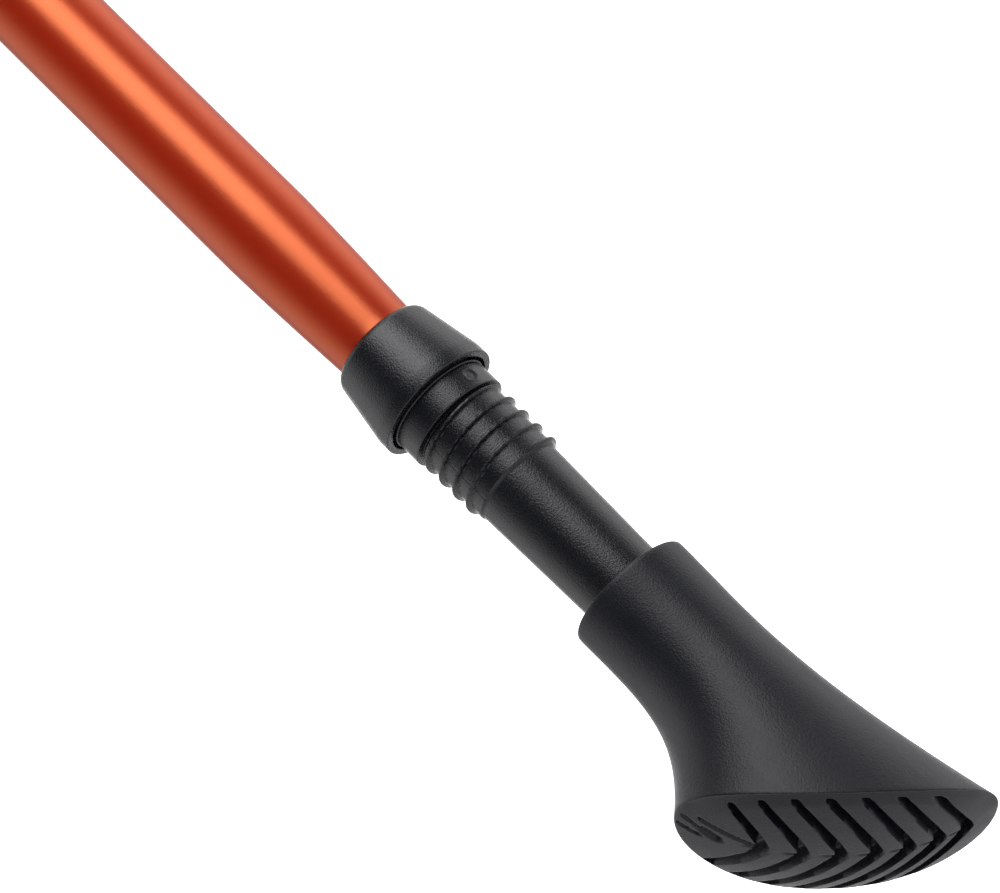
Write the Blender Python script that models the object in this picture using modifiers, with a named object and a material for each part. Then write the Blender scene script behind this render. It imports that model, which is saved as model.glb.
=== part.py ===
"""Nordic walking pole, two-piece telescopic, shown at its storage length.

The pole stands along Z with the hand at the origin, so the foot is far below. +Y is the walking
direction and the foot's long end points to -Y. Sizes are in millimetres and are scaled once, where
the meshes are made. Heights above the hand are called z. Along the foot, s is the distance down
from the joint between the orange tube and its black tip moulding.
"""
import math

import bmesh
import bpy
import numpy as np
from mathutils import Vector

MM = 0.001

# Clearances
PRESS_GAP = 0.1
SEAT_GAP = 0.3
RUN_GAP = 0.3

# Overall lengths, from the hand at z = 0
GRIP_TOP = 70.0
GRIP_BOTTOM = -84.0
BUSH_BOTTOM = -566.0
BARE_TUBE = 85.0

# Tubes
LOWER_OD = 14.0
TUBE_CLEARANCE = 0.35
UPPER_WALL = 0.65
LOWER_WALL = 0.8
SWAGED_OD = 12.35
SWAGE_LENGTH = 22.0
SWAGE_POWER = 1.25
HEAD_COVER = 10.0
LOCK_ROOM = 105.0

# Bush at the upper tube's mouth
BUSH_WALL = 1.5
BUSH_LENGTH = 30.0
BUSH_LIP = 8.0
BUSH_ROUND = 1.6

# Tip moulding: collar, neck, basket thread and shaft
SOCKET_DEPTH = 10.8
COLLAR_START = 0.6
COLLAR_WALL = 1.175
COLLAR_FLARE = 1.65
COLLAR_FLARE_END = 10.65
COLLAR_LENGTH = 12.45
COLLAR_ROUND = 1.4
COLLAR_BEVEL = 0.3
RECESS_WIDTH = 0.6
RECESS_DEPTH = 1.6
NECK_STEP = 0.8
NECK_END = 16.6
VALLEY_R = 6.7
CREST_HEIGHT = 0.58
THREAD_PITCH = 2.61
THREAD_START = 16.87
THREAD_TURNS = 4.1
THREAD_PHASE = 248.0
THREAD_SPREAD = 0.27
SHAFT_TOP = 28.4
SHAFT_STEP = 0.23
SHAFT_TAPER = 0.0205

# Steel holder and carbide point
HOLDER_R = 3.5
HOLDER_DEPTH = 13.0
HOLDER_FLANGE_R = 4.2
HOLDER_NOSE = 6.0
CARBIDE_R = 1.9
CARBIDE_LENGTH = 9.4
CARBIDE_PROUD = 3.4

# Rubber foot
RIM_S = 49.3
RIM_WALL = 2.66
RIM_EDGE = 0.7
RIM_MOUTH_GAP = 0.85
HEEL_X = 17.6
HEEL_S = 26.8
HEEL_STRAIGHT = 11.8
HEEL_BEND = (-8.1, 18.3)
TOE_X = 14.2
TOE_S = 53.1
TOE_STRAIGHT = 13.1
TOE_BEND = (6.6, 21.1)
SOLE_HALF_WIDTH = 14.7
SOLE_FULLNESS = 2.15
SOLE_ROCKER = 4.0
SOLE_CROWN = 2.0
FLARE_POWER = 2.16
SOLE_RUBBER = 10.0
WASHER_R = 4.6
WASHER_THICK = 1.5

# Chevron tread
GROOVES = 7
GROOVE_FIRST = -9.75
GROOVE_PITCH = 5.2
GROOVE_CLOSING = 0.145
GROOVE_WIDTH = 1.5
GROOVE_DEPTH = 1.6
ARM_START = 0.45
ARM_END = 0.7
ARM_STEP = 0.03
TREAD_BORDER = 0.9

# Twist lock
PLUG_FLANGE = 3.0
PLUG_DEPTH = 18.0
SPINDLE_R = 3.0
SPINDLE_LENGTH = 60.0
SPINDLE_DEPTH = 14.0
EXPANDER_LENGTH = 32.0
EXPANDER_BASE = 4.0
EXPANDER_SMALL_R = 4.2
EXPANDER_WALL = 1.05
EXPANDER_SLOT = 1.6
CONE_LENGTH = 18.0
CONE_CLEARANCE = 0.45
CONE_LIFT = 6.5
STOP_CLEARANCE = 1.15
STOP_THICK = 3.0

# Grip
CORE_WALL = 2.9
HEAD_HEIGHT = 26.0
END_RING = 8.0
END_RING_WALL = 1.5
CAP_HEIGHT = 6.0
CAP_INSET = 1.2
PIN_R = 1.5
PIN_STANDOFF = 11.0
PIN_DROP = 12.0
LUG_HALF_HEIGHT = 8.0
LUG_BEHIND_PIN = 4.0
LUG_CHEEK = 2.4
LUG_ROUND = 2.2
NOTCH_GAP = 0.6

# Strap
WEBBING_WIDTH = 16.0
WEBBING_THICK = 1.6
WEBBING_DROP = 46.0
MITT_DROP = 32.0
MITT_HEIGHT = 78.0
MITT_SLANT = 9.0
MITT_HALF_DEPTH = 38.0
WRIST_HALF_DEPTH = 30.0
MITT_HALF_WIDTH = 17.0
WRIST_HALF_WIDTH = 21.0
MITT_THICK = 2.4
THUMB_HALF_WIDTH = 12.0
THUMB_HALF_HEIGHT = 13.0
THUMB_DROP = 31.0
CUFF_HEIGHT = 26.0
CUFF_MARGIN = 1.2
CUFF_THICK = 1.4
TAB_HEIGHT = 20.0
TAB_THICK = 1.2
TAB_SEAM = 168.0
TAB_END = 268.0

# Facets round a visible piece and round a hidden one
ROUND_STEPS = 36
HIDDEN_STEPS = 24
FOOT_STEPS = 44
THREAD_ROWS = 25

# Sizes and places worked out from the ones above
JUNCTION_Z = BUSH_BOTTOM - BARE_TUBE
UPPER_TUBE_TOP = GRIP_TOP - HEAD_COVER
LOWER_TUBE_TOP = UPPER_TUBE_TOP - LOCK_ROOM
CORK_TOP = GRIP_TOP - HEAD_HEIGHT
UPPER_BORE_R = LOWER_OD / 2 + TUBE_CLEARANCE
UPPER_R = UPPER_BORE_R + UPPER_WALL
LOWER_BORE_R = LOWER_OD / 2 - LOWER_WALL
BUSH_R = UPPER_R + PRESS_GAP + BUSH_WALL
CORE_R = UPPER_R + PRESS_GAP + CORE_WALL
PIN_Y = -(CORE_R + PIN_STANDOFF)
PIN_Z = GRIP_TOP - PIN_DROP
LOOP_R = PIN_R + RUN_GAP + WEBBING_THICK
NOTCH_HALF_WIDTH = WEBBING_WIDTH / 2 + NOTCH_GAP
LUG_HALF_WIDTH = NOTCH_HALF_WIDTH + LUG_CHEEK
MITT_FRONT = PIN_Y - LOOP_R - SEAT_GAP
MITT_CENTRE_Y = MITT_FRONT - MITT_THICK - MITT_HALF_DEPTH
MITT_TOP = PIN_Z - MITT_DROP
MITT_BOTTOM = MITT_TOP - MITT_HEIGHT
COLLAR_TOP_R = SWAGED_OD / 2 + PRESS_GAP + COLLAR_WALL
COLLAR_RIM_R = COLLAR_TOP_R + COLLAR_FLARE
NECK_R = VALLEY_R + NECK_STEP
RECESS_R = NECK_R + RECESS_WIDTH
SHAFT_TOP_R = VALLEY_R - SHAFT_STEP
RIM_BORE_R = SHAFT_TOP_R - SHAFT_TAPER * (RIM_S - SHAFT_TOP) + RUN_GAP
RIM_R = RIM_BORE_R + RIM_WALL
CHORD = np.array([TOE_X + HEEL_X, TOE_S - HEEL_S])
CHORD_LENGTH = float(np.linalg.norm(CHORD))
CHORD_UNIT = CHORD / CHORD_LENGTH
SOLE_NORMAL = np.array([-CHORD_UNIT[1], CHORD_UNIT[0]])
SOLE_MIDDLE = np.array([TOE_X - HEEL_X, TOE_S + HEEL_S]) / 2
SOLE_CENTRE = SOLE_MIDDLE + SOLE_NORMAL * (SOLE_ROCKER + SOLE_CROWN)
SOLE_S = RIM_S + SOLE_CENTRE[1] - SOLE_CENTRE[0] * CHORD_UNIT[1] / CHORD_UNIT[0]
SOCKET_END_S = SOLE_S - SOLE_RUBBER
WASHER_S = SOCKET_END_S - SEAT_GAP - WASHER_THICK
POINT_S = WASHER_S - SEAT_GAP
SHAFT_END = POINT_S - CARBIDE_PROUD - HOLDER_NOSE - SEAT_GAP


# Scene and materials

def clear_scene():
    for thing in list(bpy.data.objects):
        bpy.data.objects.remove(thing, do_unlink=True)


def new_collection(name):
    group = bpy.data.collections.new(name)
    bpy.context.scene.collection.children.link(group)
    return group


def make_material(name, colour, roughness, metallic=0.0):
    material = bpy.data.materials.new(name)
    material.use_nodes = True
    shader = material.node_tree.nodes["Principled BSDF"]
    shader.inputs["Base Color"].default_value = (*colour, 1.0)
    shader.inputs["Roughness"].default_value = roughness
    shader.inputs["Metallic"].default_value = metallic
    return material


def place(obj, material=None):
    POLE.objects.link(obj)
    if material:
        obj.data.materials.append(material)
    return obj


def shade(mesh):
    mesh.shade_smooth()
    mesh.set_sharp_from_angle(angle=math.radians(35))


def cutter(obj):
    CUTTERS.objects.link(obj)
    obj.hide_render = True
    obj.display_type = "WIRE"
    return obj


def cut(obj, tool):
    difference = obj.modifiers.new("cut", "BOOLEAN")
    difference.operation = "DIFFERENCE"
    difference.solver = "EXACT"
    difference.object = tool


def mesh_object(name, mesh):
    bmesh_copy = bmesh.new()
    bmesh_copy.from_mesh(mesh)
    bmesh.ops.recalc_face_normals(bmesh_copy, faces=bmesh_copy.faces)
    bmesh_copy.to_mesh(mesh)
    bmesh_copy.free()
    shade(mesh)
    return bpy.data.objects.new(name, mesh)


def smooth(t):
    t = min(max(t, 0.0), 1.0)
    return t * t * (3 - 2 * t)


# Forms

def turned(name, profile, material, at=(0.0, 0.0), steps=ROUND_STEPS):
    """A turned piece. The profile is (radius, z), down its outer side and, where it has a bore, up inside."""
    top = profile[0][1]
    mesh = bpy.data.meshes.new(name)
    points = [(r * MM, 0.0, (z - top) * MM) for r, z in profile]
    count = len(points)
    closed = min(r for r, _ in profile) > 0
    edges = [(i, i + 1) for i in range(count - 1)]
    if closed:
        edges.append((count - 1, 0))
    mesh.from_pydata(points, edges, [])
    obj = bpy.data.objects.new(name, mesh)
    obj.location = (at[0] * MM, at[1] * MM, top * MM)
    screw = obj.modifiers.new("turn", "SCREW")
    screw.steps = steps
    screw.render_steps = steps
    screw.use_merge_vertices = True
    screw.merge_threshold = 0.000001
    screw.use_smooth_shade = True
    return place(obj, material)


def loft(name, rings, centre, caps=True):
    """A skin through rings of as many points each, in millimetres, about the object's centre."""
    count = len(rings[0])
    points = [tuple((np.array(p) - centre) * MM) for ring in rings for p in ring]
    faces = []
    for k in range(len(rings) - 1):
        for i in range(count):
            j = (i + 1) % count
            faces.append((k * count + i, k * count + j, (k + 1) * count + j, (k + 1) * count + i))
    if caps:
        faces.append(tuple(range(count)))
        last = (len(rings) - 1) * count
        faces.append(tuple(last + i for i in reversed(range(count))))
    mesh = bpy.data.meshes.new(name)
    mesh.from_pydata(points, [], faces)
    obj = mesh_object(name, mesh)
    obj.location = Vector(centre) * MM
    return obj


def box(name, low, high):
    bpy.ops.mesh.primitive_cube_add(size=1.0)
    obj = bpy.context.object
    obj.name = name
    for group in list(obj.users_collection):
        group.objects.unlink(obj)
    obj.location = [(a + b) / 2 * MM for a, b in zip(low, high)]
    obj.scale = [(b - a) * MM for a, b in zip(low, high)]
    apply_scale(obj)
    return obj


def apply_scale(obj):
    for vertex in obj.data.vertices:
        vertex.co = [c * k for c, k in zip(vertex.co, obj.scale)]
    obj.scale = (1.0, 1.0, 1.0)


def cylinder(name, radius, low, high, axis="Z", at=(0.0, 0.0), steps=ROUND_STEPS):
    """A plain round bar from low to high along an axis; at holds its two other coordinates."""
    bpy.ops.mesh.primitive_cylinder_add(vertices=steps, radius=radius * MM, depth=(high - low) * MM)
    obj = bpy.context.object
    obj.name = name
    for group in list(obj.users_collection):
        group.objects.unlink(obj)
    middle = (low + high) / 2
    if axis == "X":
        obj.rotation_euler = (0.0, math.pi / 2, 0.0)
        obj.location = (middle * MM, at[0] * MM, at[1] * MM)
    else:
        obj.location = (at[0] * MM, at[1] * MM, middle * MM)
    shade(obj.data)
    return obj


def ellipse(z, centre_y, half_x, half_y, count):
    """A level oval ring."""
    turns = [2 * math.pi * i / count for i in range(count)]
    return [(half_x * math.cos(a), centre_y + half_y * math.sin(a), z) for a in turns]


# Tubes and bush

def swage_radius(s):
    """The lower tube's outer radius near its end: straight, then drawn down to the tip moulding."""
    t = min(max((s + SWAGE_LENGTH) / SWAGE_LENGTH, 0.0), 1.0)
    return (LOWER_OD - (LOWER_OD - SWAGED_OD) * t ** SWAGE_POWER) / 2


def make_upper_tube():
    bottom = BUSH_BOTTOM + BUSH_LIP + SEAT_GAP
    outer = [(UPPER_R, UPPER_TUBE_TOP), (UPPER_R, bottom)]
    inner = [(UPPER_BORE_R, bottom), (UPPER_BORE_R, UPPER_TUBE_TOP)]
    return turned("upper_tube", outer + inner, ORANGE)


def make_lower_tube():
    end = JUNCTION_Z - SOCKET_DEPTH + SEAT_GAP
    outer = [(swage_radius(s), JUNCTION_Z - s) for s in np.linspace(-SWAGE_LENGTH, 0.0, 7)]
    inner = [(r - LOWER_WALL, z) for r, z in (outer[-1], outer[4], outer[0])]
    profile = [(LOWER_OD / 2, LOWER_TUBE_TOP)] + outer + [(SWAGED_OD / 2, end)]
    profile += [(SWAGED_OD / 2 - LOWER_WALL, end)] + inner + [(LOWER_BORE_R, LOWER_TUBE_TOP)]
    return turned("lower_tube", profile, ORANGE)


def make_tube_bush():
    outer = BUSH_R
    top = BUSH_BOTTOM + BUSH_LENGTH
    tube_r = UPPER_R + PRESS_GAP
    lip_r = LOWER_OD / 2 + RUN_GAP
    shelf = BUSH_BOTTOM + BUSH_LIP
    edge = BUSH_ROUND
    profile = [
        (outer - edge * 0.75, top), (outer - edge * 0.25, top - edge * 0.35), (outer, top - edge),
        (outer, BUSH_BOTTOM + edge), (outer - edge * 0.3, BUSH_BOTTOM + edge * 0.3),
        (outer - edge, BUSH_BOTTOM), (lip_r, BUSH_BOTTOM), (lip_r, shelf), (tube_r, shelf), (tube_r, top),
    ]
    return turned("tube_bush", profile, BLACK)


# Tip moulding

def shaft_radius(s):
    return SHAFT_TOP_R - SHAFT_TAPER * (s - SHAFT_TOP)


def thread_ridge(s, turn):
    """Height of the basket thread: a right-hand rounded ridge that runs out at both ends."""
    lead = THREAD_START - THREAD_PITCH * (turn - math.radians(THREAD_PHASE)) / (2 * math.pi)
    along = (s - lead) / THREAD_PITCH
    nearest = along - round(along)
    ridge = math.cos(min(abs(nearest) / THREAD_SPREAD, 1.0) * math.pi / 2) ** 0.8
    start = smooth((s - NECK_END - 0.2) / 0.9)
    end = smooth((THREAD_START + THREAD_TURNS * THREAD_PITCH - s) / 0.9)
    return CREST_HEIGHT * ridge * start * end


def tip_rings():
    """(s, radius, has thread) from the floor of the tube socket, out over the collar, to the shaft's end."""
    mouth = SWAGED_OD / 2 + PRESS_GAP
    top, rim = COLLAR_START, COLLAR_LENGTH
    rings = [(SOCKET_DEPTH, mouth, False), (top, mouth, False)]
    for turn in np.radians((90, 65, 40, 20)):
        back, inward = COLLAR_ROUND * (1 - math.sin(turn)), COLLAR_ROUND * (1 - math.cos(turn))
        rings.append((top + back, max(collar_radius(top + back) - inward, mouth + 0.1), False))
    rings += [(s, collar_radius(s), False) for s in np.linspace(top + COLLAR_ROUND, COLLAR_FLARE_END, 3)]
    rings += [(rim - COLLAR_BEVEL, COLLAR_RIM_R, False), (rim - COLLAR_BEVEL * 0.3, COLLAR_RIM_R - 0.1, False)]
    rings += [(rim, COLLAR_RIM_R - COLLAR_BEVEL, False), (rim, RECESS_R, False)]
    rings += [(rim - RECESS_DEPTH, RECESS_R - 0.1, False), (rim - RECESS_DEPTH, NECK_R, False)]
    rings += [(NECK_END - 0.3, NECK_R, False), (NECK_END, NECK_R - 0.25, False)]
    thread_end = THREAD_START + THREAD_TURNS * THREAD_PITCH
    rings += [(s, VALLEY_R, True) for s in np.linspace(NECK_END + 0.15, thread_end, THREAD_ROWS)]
    end_r = shaft_radius(SHAFT_END)
    rings += [(SHAFT_TOP, SHAFT_TOP_R, False), (SHAFT_END - 0.8, end_r, False)]
    rings += [(SHAFT_END, end_r - 0.8, False)]
    bore = HOLDER_R + PRESS_GAP
    rings += [(SHAFT_END, bore, False), (SHAFT_END - HOLDER_DEPTH - SEAT_GAP, bore, False)]
    return rings


def collar_radius(s):
    """The collar's straight flare, from its top to the band at its rim."""
    return COLLAR_TOP_R + COLLAR_FLARE * (s - COLLAR_START) / (COLLAR_FLARE_END - COLLAR_START)


def make_tip_body():
    rings = []
    for s, radius, threaded in tip_rings():
        ring = []
        for i in range(ROUND_STEPS):
            turn = 2 * math.pi * i / ROUND_STEPS
            r = radius + (thread_ridge(s, turn) if threaded else 0.0)
            ring.append((r * math.cos(turn), r * math.sin(turn), JUNCTION_Z - s))
        rings.append(ring)
    return place(loft("tip_body", rings, np.array([0.0, 0.0, JUNCTION_Z])), BLACK)


def make_tip_holder():
    top = JUNCTION_Z - SHAFT_END + HOLDER_DEPTH
    flange = JUNCTION_Z - SHAFT_END - SEAT_GAP
    nose = flange - HOLDER_NOSE
    bore = CARBIDE_R + PRESS_GAP
    floor = nose + CARBIDE_LENGTH - CARBIDE_PROUD + SEAT_GAP
    profile = [
        (0.0, top), (HOLDER_R - 0.4, top), (HOLDER_R, top - 0.4), (HOLDER_R, flange),
        (HOLDER_FLANGE_R, flange), (HOLDER_FLANGE_R, flange - 1.5), (bore + 1.0, nose), (bore, nose),
        (bore, floor), (0.0, floor),
    ]
    return turned("tip_holder", profile, STEEL, steps=HIDDEN_STEPS)


def make_carbide_tip():
    low = JUNCTION_Z - POINT_S
    top = low + CARBIDE_LENGTH
    bar = [(0.0, top), (CARBIDE_R, top), (CARBIDE_R, low + 0.5)]
    hollow = [(CARBIDE_R - 0.5, low), (CARBIDE_R - 1.2, low + 0.5), (0.0, low + 0.6)]
    profile = bar + hollow
    return turned("carbide_tip", profile, CARBIDE, steps=HIDDEN_STEPS)


# Rubber foot

def bezier(points, t):
    p = [np.array(q, float) for q in points]
    return (1 - t) ** 3 * p[0] + 3 * (1 - t) ** 2 * t * p[1] + 3 * (1 - t) * t * t * p[2] + t ** 3 * p[3]


HEEL_LINE = [(-RIM_R, 0.0), (-RIM_R, HEEL_STRAIGHT), HEEL_BEND, (-HEEL_X, HEEL_S)]
TOE_LINE = [(RIM_R, 0.0), (RIM_R, TOE_STRAIGHT), TOE_BEND, (TOE_X, TOE_S)]


def foot_point(across, lateral, down):
    """From the foot's own directions, toward the toe, sideways and down from the rim, to the pole's."""
    return (lateral, -across, JUNCTION_Z - RIM_S - down)


def full_circle(turn, share):
    """A unit circle's point, filled out toward its corners by that share of the sole's fullness."""
    power = 2 / (2 + (SOLE_FULLNESS - 2) * share)
    c, s = math.cos(turn), math.sin(turn)
    return math.copysign(abs(c) ** power, c), math.copysign(abs(s) ** power, s)


def sole_edge(along):
    """The sole's half width at a place along its chord, as a share of the greatest."""
    t = min(abs(along) / (CHORD_LENGTH / 2), 1.0)
    return (1 - t ** SOLE_FULLNESS) ** (1 / SOLE_FULLNESS)


def foot_section(t, count):
    """One slanted section of the foot's wall, level at the rim and along the sole at t = 1."""
    heel = bezier(HEEL_LINE, t)
    toe = bezier(TOE_LINE, t)
    middle, half = (heel + toe) / 2, (toe - heel) / 2
    normal = np.array([-half[1], half[0]]) / np.linalg.norm(half)
    width = RIM_R + (SOLE_HALF_WIDTH - RIM_R) * t ** FLARE_POWER
    ring = []
    for i in range(count):
        c, s = full_circle(2 * math.pi * i / count, t * t)
        at = middle + half * c + normal * SOLE_ROCKER * t * t * s * s
        ring.append(foot_point(at[0], width * s, at[1]))
    return ring


def sole_point(along, lateral, depth=0.0):
    """A point of the convex sole: along its chord from the middle, sideways, and below the surface."""
    edge = sole_edge(along)
    half = SOLE_HALF_WIDTH * edge
    share = min(abs(lateral) / half, 1.0) if half > 0 else 0.0
    bulge = (SOLE_ROCKER + SOLE_CROWN * (1 - share * share)) * edge * edge
    at = SOLE_MIDDLE + CHORD_UNIT * along + SOLE_NORMAL * (bulge - depth)
    return foot_point(at[0], lateral, at[1])


def socket_radius(s):
    return shaft_radius(s) + RUN_GAP


def foot_socket_rings(count):
    """The foot's bore, from its floor up to the lip, and over the rounded lip."""
    chamber = WASHER_R + SEAT_GAP
    shelf = SHAFT_END + SEAT_GAP
    wall = [(SOCKET_END_S, chamber), (shelf, chamber), (shelf, socket_radius(SHAFT_END))]
    mouth = shaft_radius(RIM_S) + RIM_MOUTH_GAP
    wall += [(RIM_S + 2.0, socket_radius(RIM_S + 2.0)), (RIM_S + RIM_EDGE, mouth)]
    wall += [(RIM_S + 0.1, mouth + RIM_EDGE * 0.7), (RIM_S - 0.05, (mouth + RIM_R) / 2)]
    wall += [(RIM_S + 0.1, RIM_R - RIM_EDGE * 0.6)]
    rings = []
    for s, r in wall:
        turns = [2 * math.pi * i / count for i in range(count)]
        rings.append([foot_point(r * math.cos(a), r * math.sin(a), s - RIM_S) for a in turns])
    return rings


def make_foot():
    count, across = FOOT_STEPS, 8
    rings = foot_socket_rings(count)
    rings += [foot_section(t ** 0.9, count) for t in np.linspace(0.02, 1.0, 12)]
    centre = np.array([0.0, 0.0, JUNCTION_Z - RIM_S])
    obj = loft("rubber_foot", rings, centre, caps=False)
    mesh = bmesh.new()
    mesh.from_mesh(obj.data)
    mesh.verts.ensure_lookup_table()
    mesh.faces.new([mesh.verts[i] for i in range(count)])
    first = (len(rings) - 1) * count
    edge = [mesh.verts[first + i] for i in range(count)]
    toe, heel = edge[0], edge[count // 2]
    columns = [[toe] * (across + 1)]
    for i in range(1, count // 2):
        near, far = edge[i], edge[count - i]
        c, s = full_circle(2 * math.pi * i / count, 1.0)
        along, half = CHORD_LENGTH / 2 * c, SOLE_HALF_WIDTH * s
        column = [near]
        for k in range(1, across):
            at = sole_point(along, half * (1 - 2 * k / across))
            column.append(mesh.verts.new(tuple((np.array(at) - centre) * MM)))
        columns.append(column + [far])
    columns.append([heel] * (across + 1))
    for left, right in zip(columns, columns[1:]):
        for k in range(across):
            corners = []
            for vertex in (left[k], right[k], right[k + 1], left[k + 1]):
                if vertex not in corners:
                    corners.append(vertex)
            mesh.faces.new(corners)
    bmesh.ops.recalc_face_normals(mesh, faces=mesh.faces)
    mesh.to_mesh(obj.data)
    mesh.free()
    shade(obj.data)
    place(obj, RUBBER)
    for k in range(GROOVES):
        cut(obj, groove_cutter(k))
    return obj


def groove_cutter(index):
    """One V-shaped groove of the tread, its tip toward the toe, as deep everywhere below the sole."""
    tip = GROOVE_FIRST + GROOVE_PITCH * index - GROOVE_CLOSING * index * index
    bend = (ARM_END - ARM_STEP * index - ARM_START) / SOLE_HALF_WIDTH
    reach = 0.0
    while reach < SOLE_HALF_WIDTH * sole_edge(tip - ARM_START * reach - bend * reach ** 2) * TREAD_BORDER:
        reach += 0.1
    steps = 6
    half = GROOVE_WIDTH / 2
    rings = []
    for k in range(-steps, steps + 1):
        lateral = reach * k / steps
        middle = tip - ARM_START * abs(lateral) - bend * lateral ** 2
        ring = [sole_point(middle - half, lateral, -1.0), sole_point(middle + half, lateral, -1.0)]
        ring += [sole_point(middle + half * 0.7, lateral, GROOVE_DEPTH)]
        ring += [sole_point(middle - half * 0.7, lateral, GROOVE_DEPTH)]
        rings.append(ring)
    return cutter(loft(f"groove_{index}", rings, np.array([0.0, 0.0, JUNCTION_Z - RIM_S])))


def make_foot_washer():
    top = JUNCTION_Z - WASHER_S
    low = top - WASHER_THICK
    profile = [(0.0, top), (WASHER_R, top), (WASHER_R, low), (0.0, low)]
    return turned("foot_washer", profile, STEEL, steps=HIDDEN_STEPS)


# Twist lock

PLUG_TOP = LOWER_TUBE_TOP + SEAT_GAP + PLUG_FLANGE
SPINDLE_LOW = PLUG_TOP - SPINDLE_DEPTH
SPINDLE_TOP = SPINDLE_LOW + SPINDLE_LENGTH
EXPANDER_LOW = PLUG_TOP + RUN_GAP
EXPANDER_TOP = EXPANDER_LOW + EXPANDER_LENGTH
EXPANDER_R = UPPER_BORE_R - RUN_GAP
EXPANDER_MOUTH_R = EXPANDER_R - EXPANDER_WALL


def make_lock_plug():
    bore = SPINDLE_R + PRESS_GAP
    flange = LOWER_OD / 2 - 0.1
    body = LOWER_BORE_R - PRESS_GAP
    low = LOWER_TUBE_TOP - PLUG_DEPTH
    seat = LOWER_TUBE_TOP + SEAT_GAP
    profile = [
        (flange - 0.6, PLUG_TOP), (flange, PLUG_TOP - 0.6), (flange, seat), (body, seat),
        (body, low + 1.0), (body - 1.0, low), (bore, low), (bore, PLUG_TOP),
    ]
    return turned("lock_plug", profile, GREY, steps=HIDDEN_STEPS)


def make_lock_spindle():
    profile = [
        (0.0, SPINDLE_TOP), (SPINDLE_R - 0.4, SPINDLE_TOP), (SPINDLE_R, SPINDLE_TOP - 0.4),
        (SPINDLE_R, SPINDLE_LOW + 0.4), (SPINDLE_R - 0.4, SPINDLE_LOW), (0.0, SPINDLE_LOW),
    ]
    return turned("lock_spindle", profile, STEEL, steps=HIDDEN_STEPS)


def expander_bore(z):
    share = (z - EXPANDER_LOW - EXPANDER_BASE) / (EXPANDER_LENGTH - EXPANDER_BASE)
    return EXPANDER_SMALL_R + (EXPANDER_MOUTH_R - EXPANDER_SMALL_R) * share


def make_lock_expander():
    outer = EXPANDER_R
    bore = SPINDLE_R + RUN_GAP
    base = EXPANDER_LOW + EXPANDER_BASE
    profile = [
        (outer - 0.5, EXPANDER_TOP), (outer, EXPANDER_TOP - 0.8), (outer, EXPANDER_LOW + 0.8),
        (outer - 0.8, EXPANDER_LOW), (bore, EXPANDER_LOW), (bore, base), (EXPANDER_SMALL_R, base),
        (EXPANDER_MOUTH_R, EXPANDER_TOP),
    ]
    obj = turned("lock_expander", profile, GREY, steps=32)
    reach = outer + 2.0
    half = EXPANDER_SLOT / 2
    top, floor = EXPANDER_TOP + 2.0, base + 2.0
    cut(obj, cutter(box("expander_slot_x", (-reach, -half, floor), (reach, half, top))))
    cut(obj, cutter(box("expander_slot_y", (-half, -reach, floor), (half, reach, top))))
    return obj


def make_lock_cone():
    low = EXPANDER_LOW + EXPANDER_BASE + CONE_LIFT
    top = low + CONE_LENGTH
    bore = SPINDLE_R + RUN_GAP
    wide, narrow = (expander_bore(z) - CONE_CLEARANCE for z in (top, low))
    profile = [(wide, top), (narrow, low), (bore, low), (bore, top)]
    return turned("lock_cone", profile, BRASS, steps=HIDDEN_STEPS)


def make_spindle_stop():
    top = SPINDLE_TOP - 1.5
    bore = SPINDLE_R + PRESS_GAP
    outer = UPPER_BORE_R - STOP_CLEARANCE
    low = top - STOP_THICK
    rim = [(outer - 0.5, top), (outer, top - 0.5), (outer, low + 0.5), (outer - 0.5, low)]
    profile = rim + [(bore, low), (bore, top)]
    return turned("spindle_stop", profile, GREY, steps=HIDDEN_STEPS)


# Grip

# Each station: share of the height, offset toward the front, and how far the oval stands past the core
CORK_STATIONS = [
    (0.0, 0.0, 1.6, 2.8), (0.1, 0.0, 2.6, 4.0), (0.25, 0.5, 2.2, 4.2), (0.44, 1.2, 2.9, 5.4),
    (0.62, 1.0, 3.2, 5.8), (0.78, 0.2, 2.2, 4.4), (0.9, -0.6, 2.0, 4.0), (1.0, -0.8, 3.0, 5.4),
]
HEAD_STATIONS = [
    (0.0, -0.8, 3.2, 5.6), (0.22, -0.4, 3.9, 7.0), (0.5, 0.6, 4.2, 8.4),
    (0.77, 1.6, 3.9, 9.0), (0.95, 2.2, 3.0, 8.4), (1.0, 2.2, 2.0, 7.4),
]


def stations(shape, low, high):
    """The stations' real heights and half sizes."""
    return [(low + (high - low) * t, cy, CORE_R + ax, CORE_R + ay) for t, cy, ax, ay in shape]


def between(rows, count):
    """Rows read from a smooth curve through the stations, evenly along the height."""
    table = np.array(rows, float)
    heights = np.linspace(table[0, 0], table[-1, 0], count)
    slopes = np.gradient(table, table[:, 0], axis=0)
    curve = []
    for z in heights:
        k = min(max(int(np.searchsorted(table[:, 0], z)) - 1, 0), len(table) - 2)
        step = table[k + 1, 0] - table[k, 0]
        t = (z - table[k, 0]) / step
        row = (2 * t ** 3 - 3 * t ** 2 + 1) * table[k] + (3 * t ** 2 - 2 * t ** 3) * table[k + 1]
        row += ((t ** 3 - 2 * t ** 2 + t) * slopes[k] + (t ** 3 - t ** 2) * slopes[k + 1]) * step
        curve.append((z, *row[1:]))
    return curve


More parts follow.
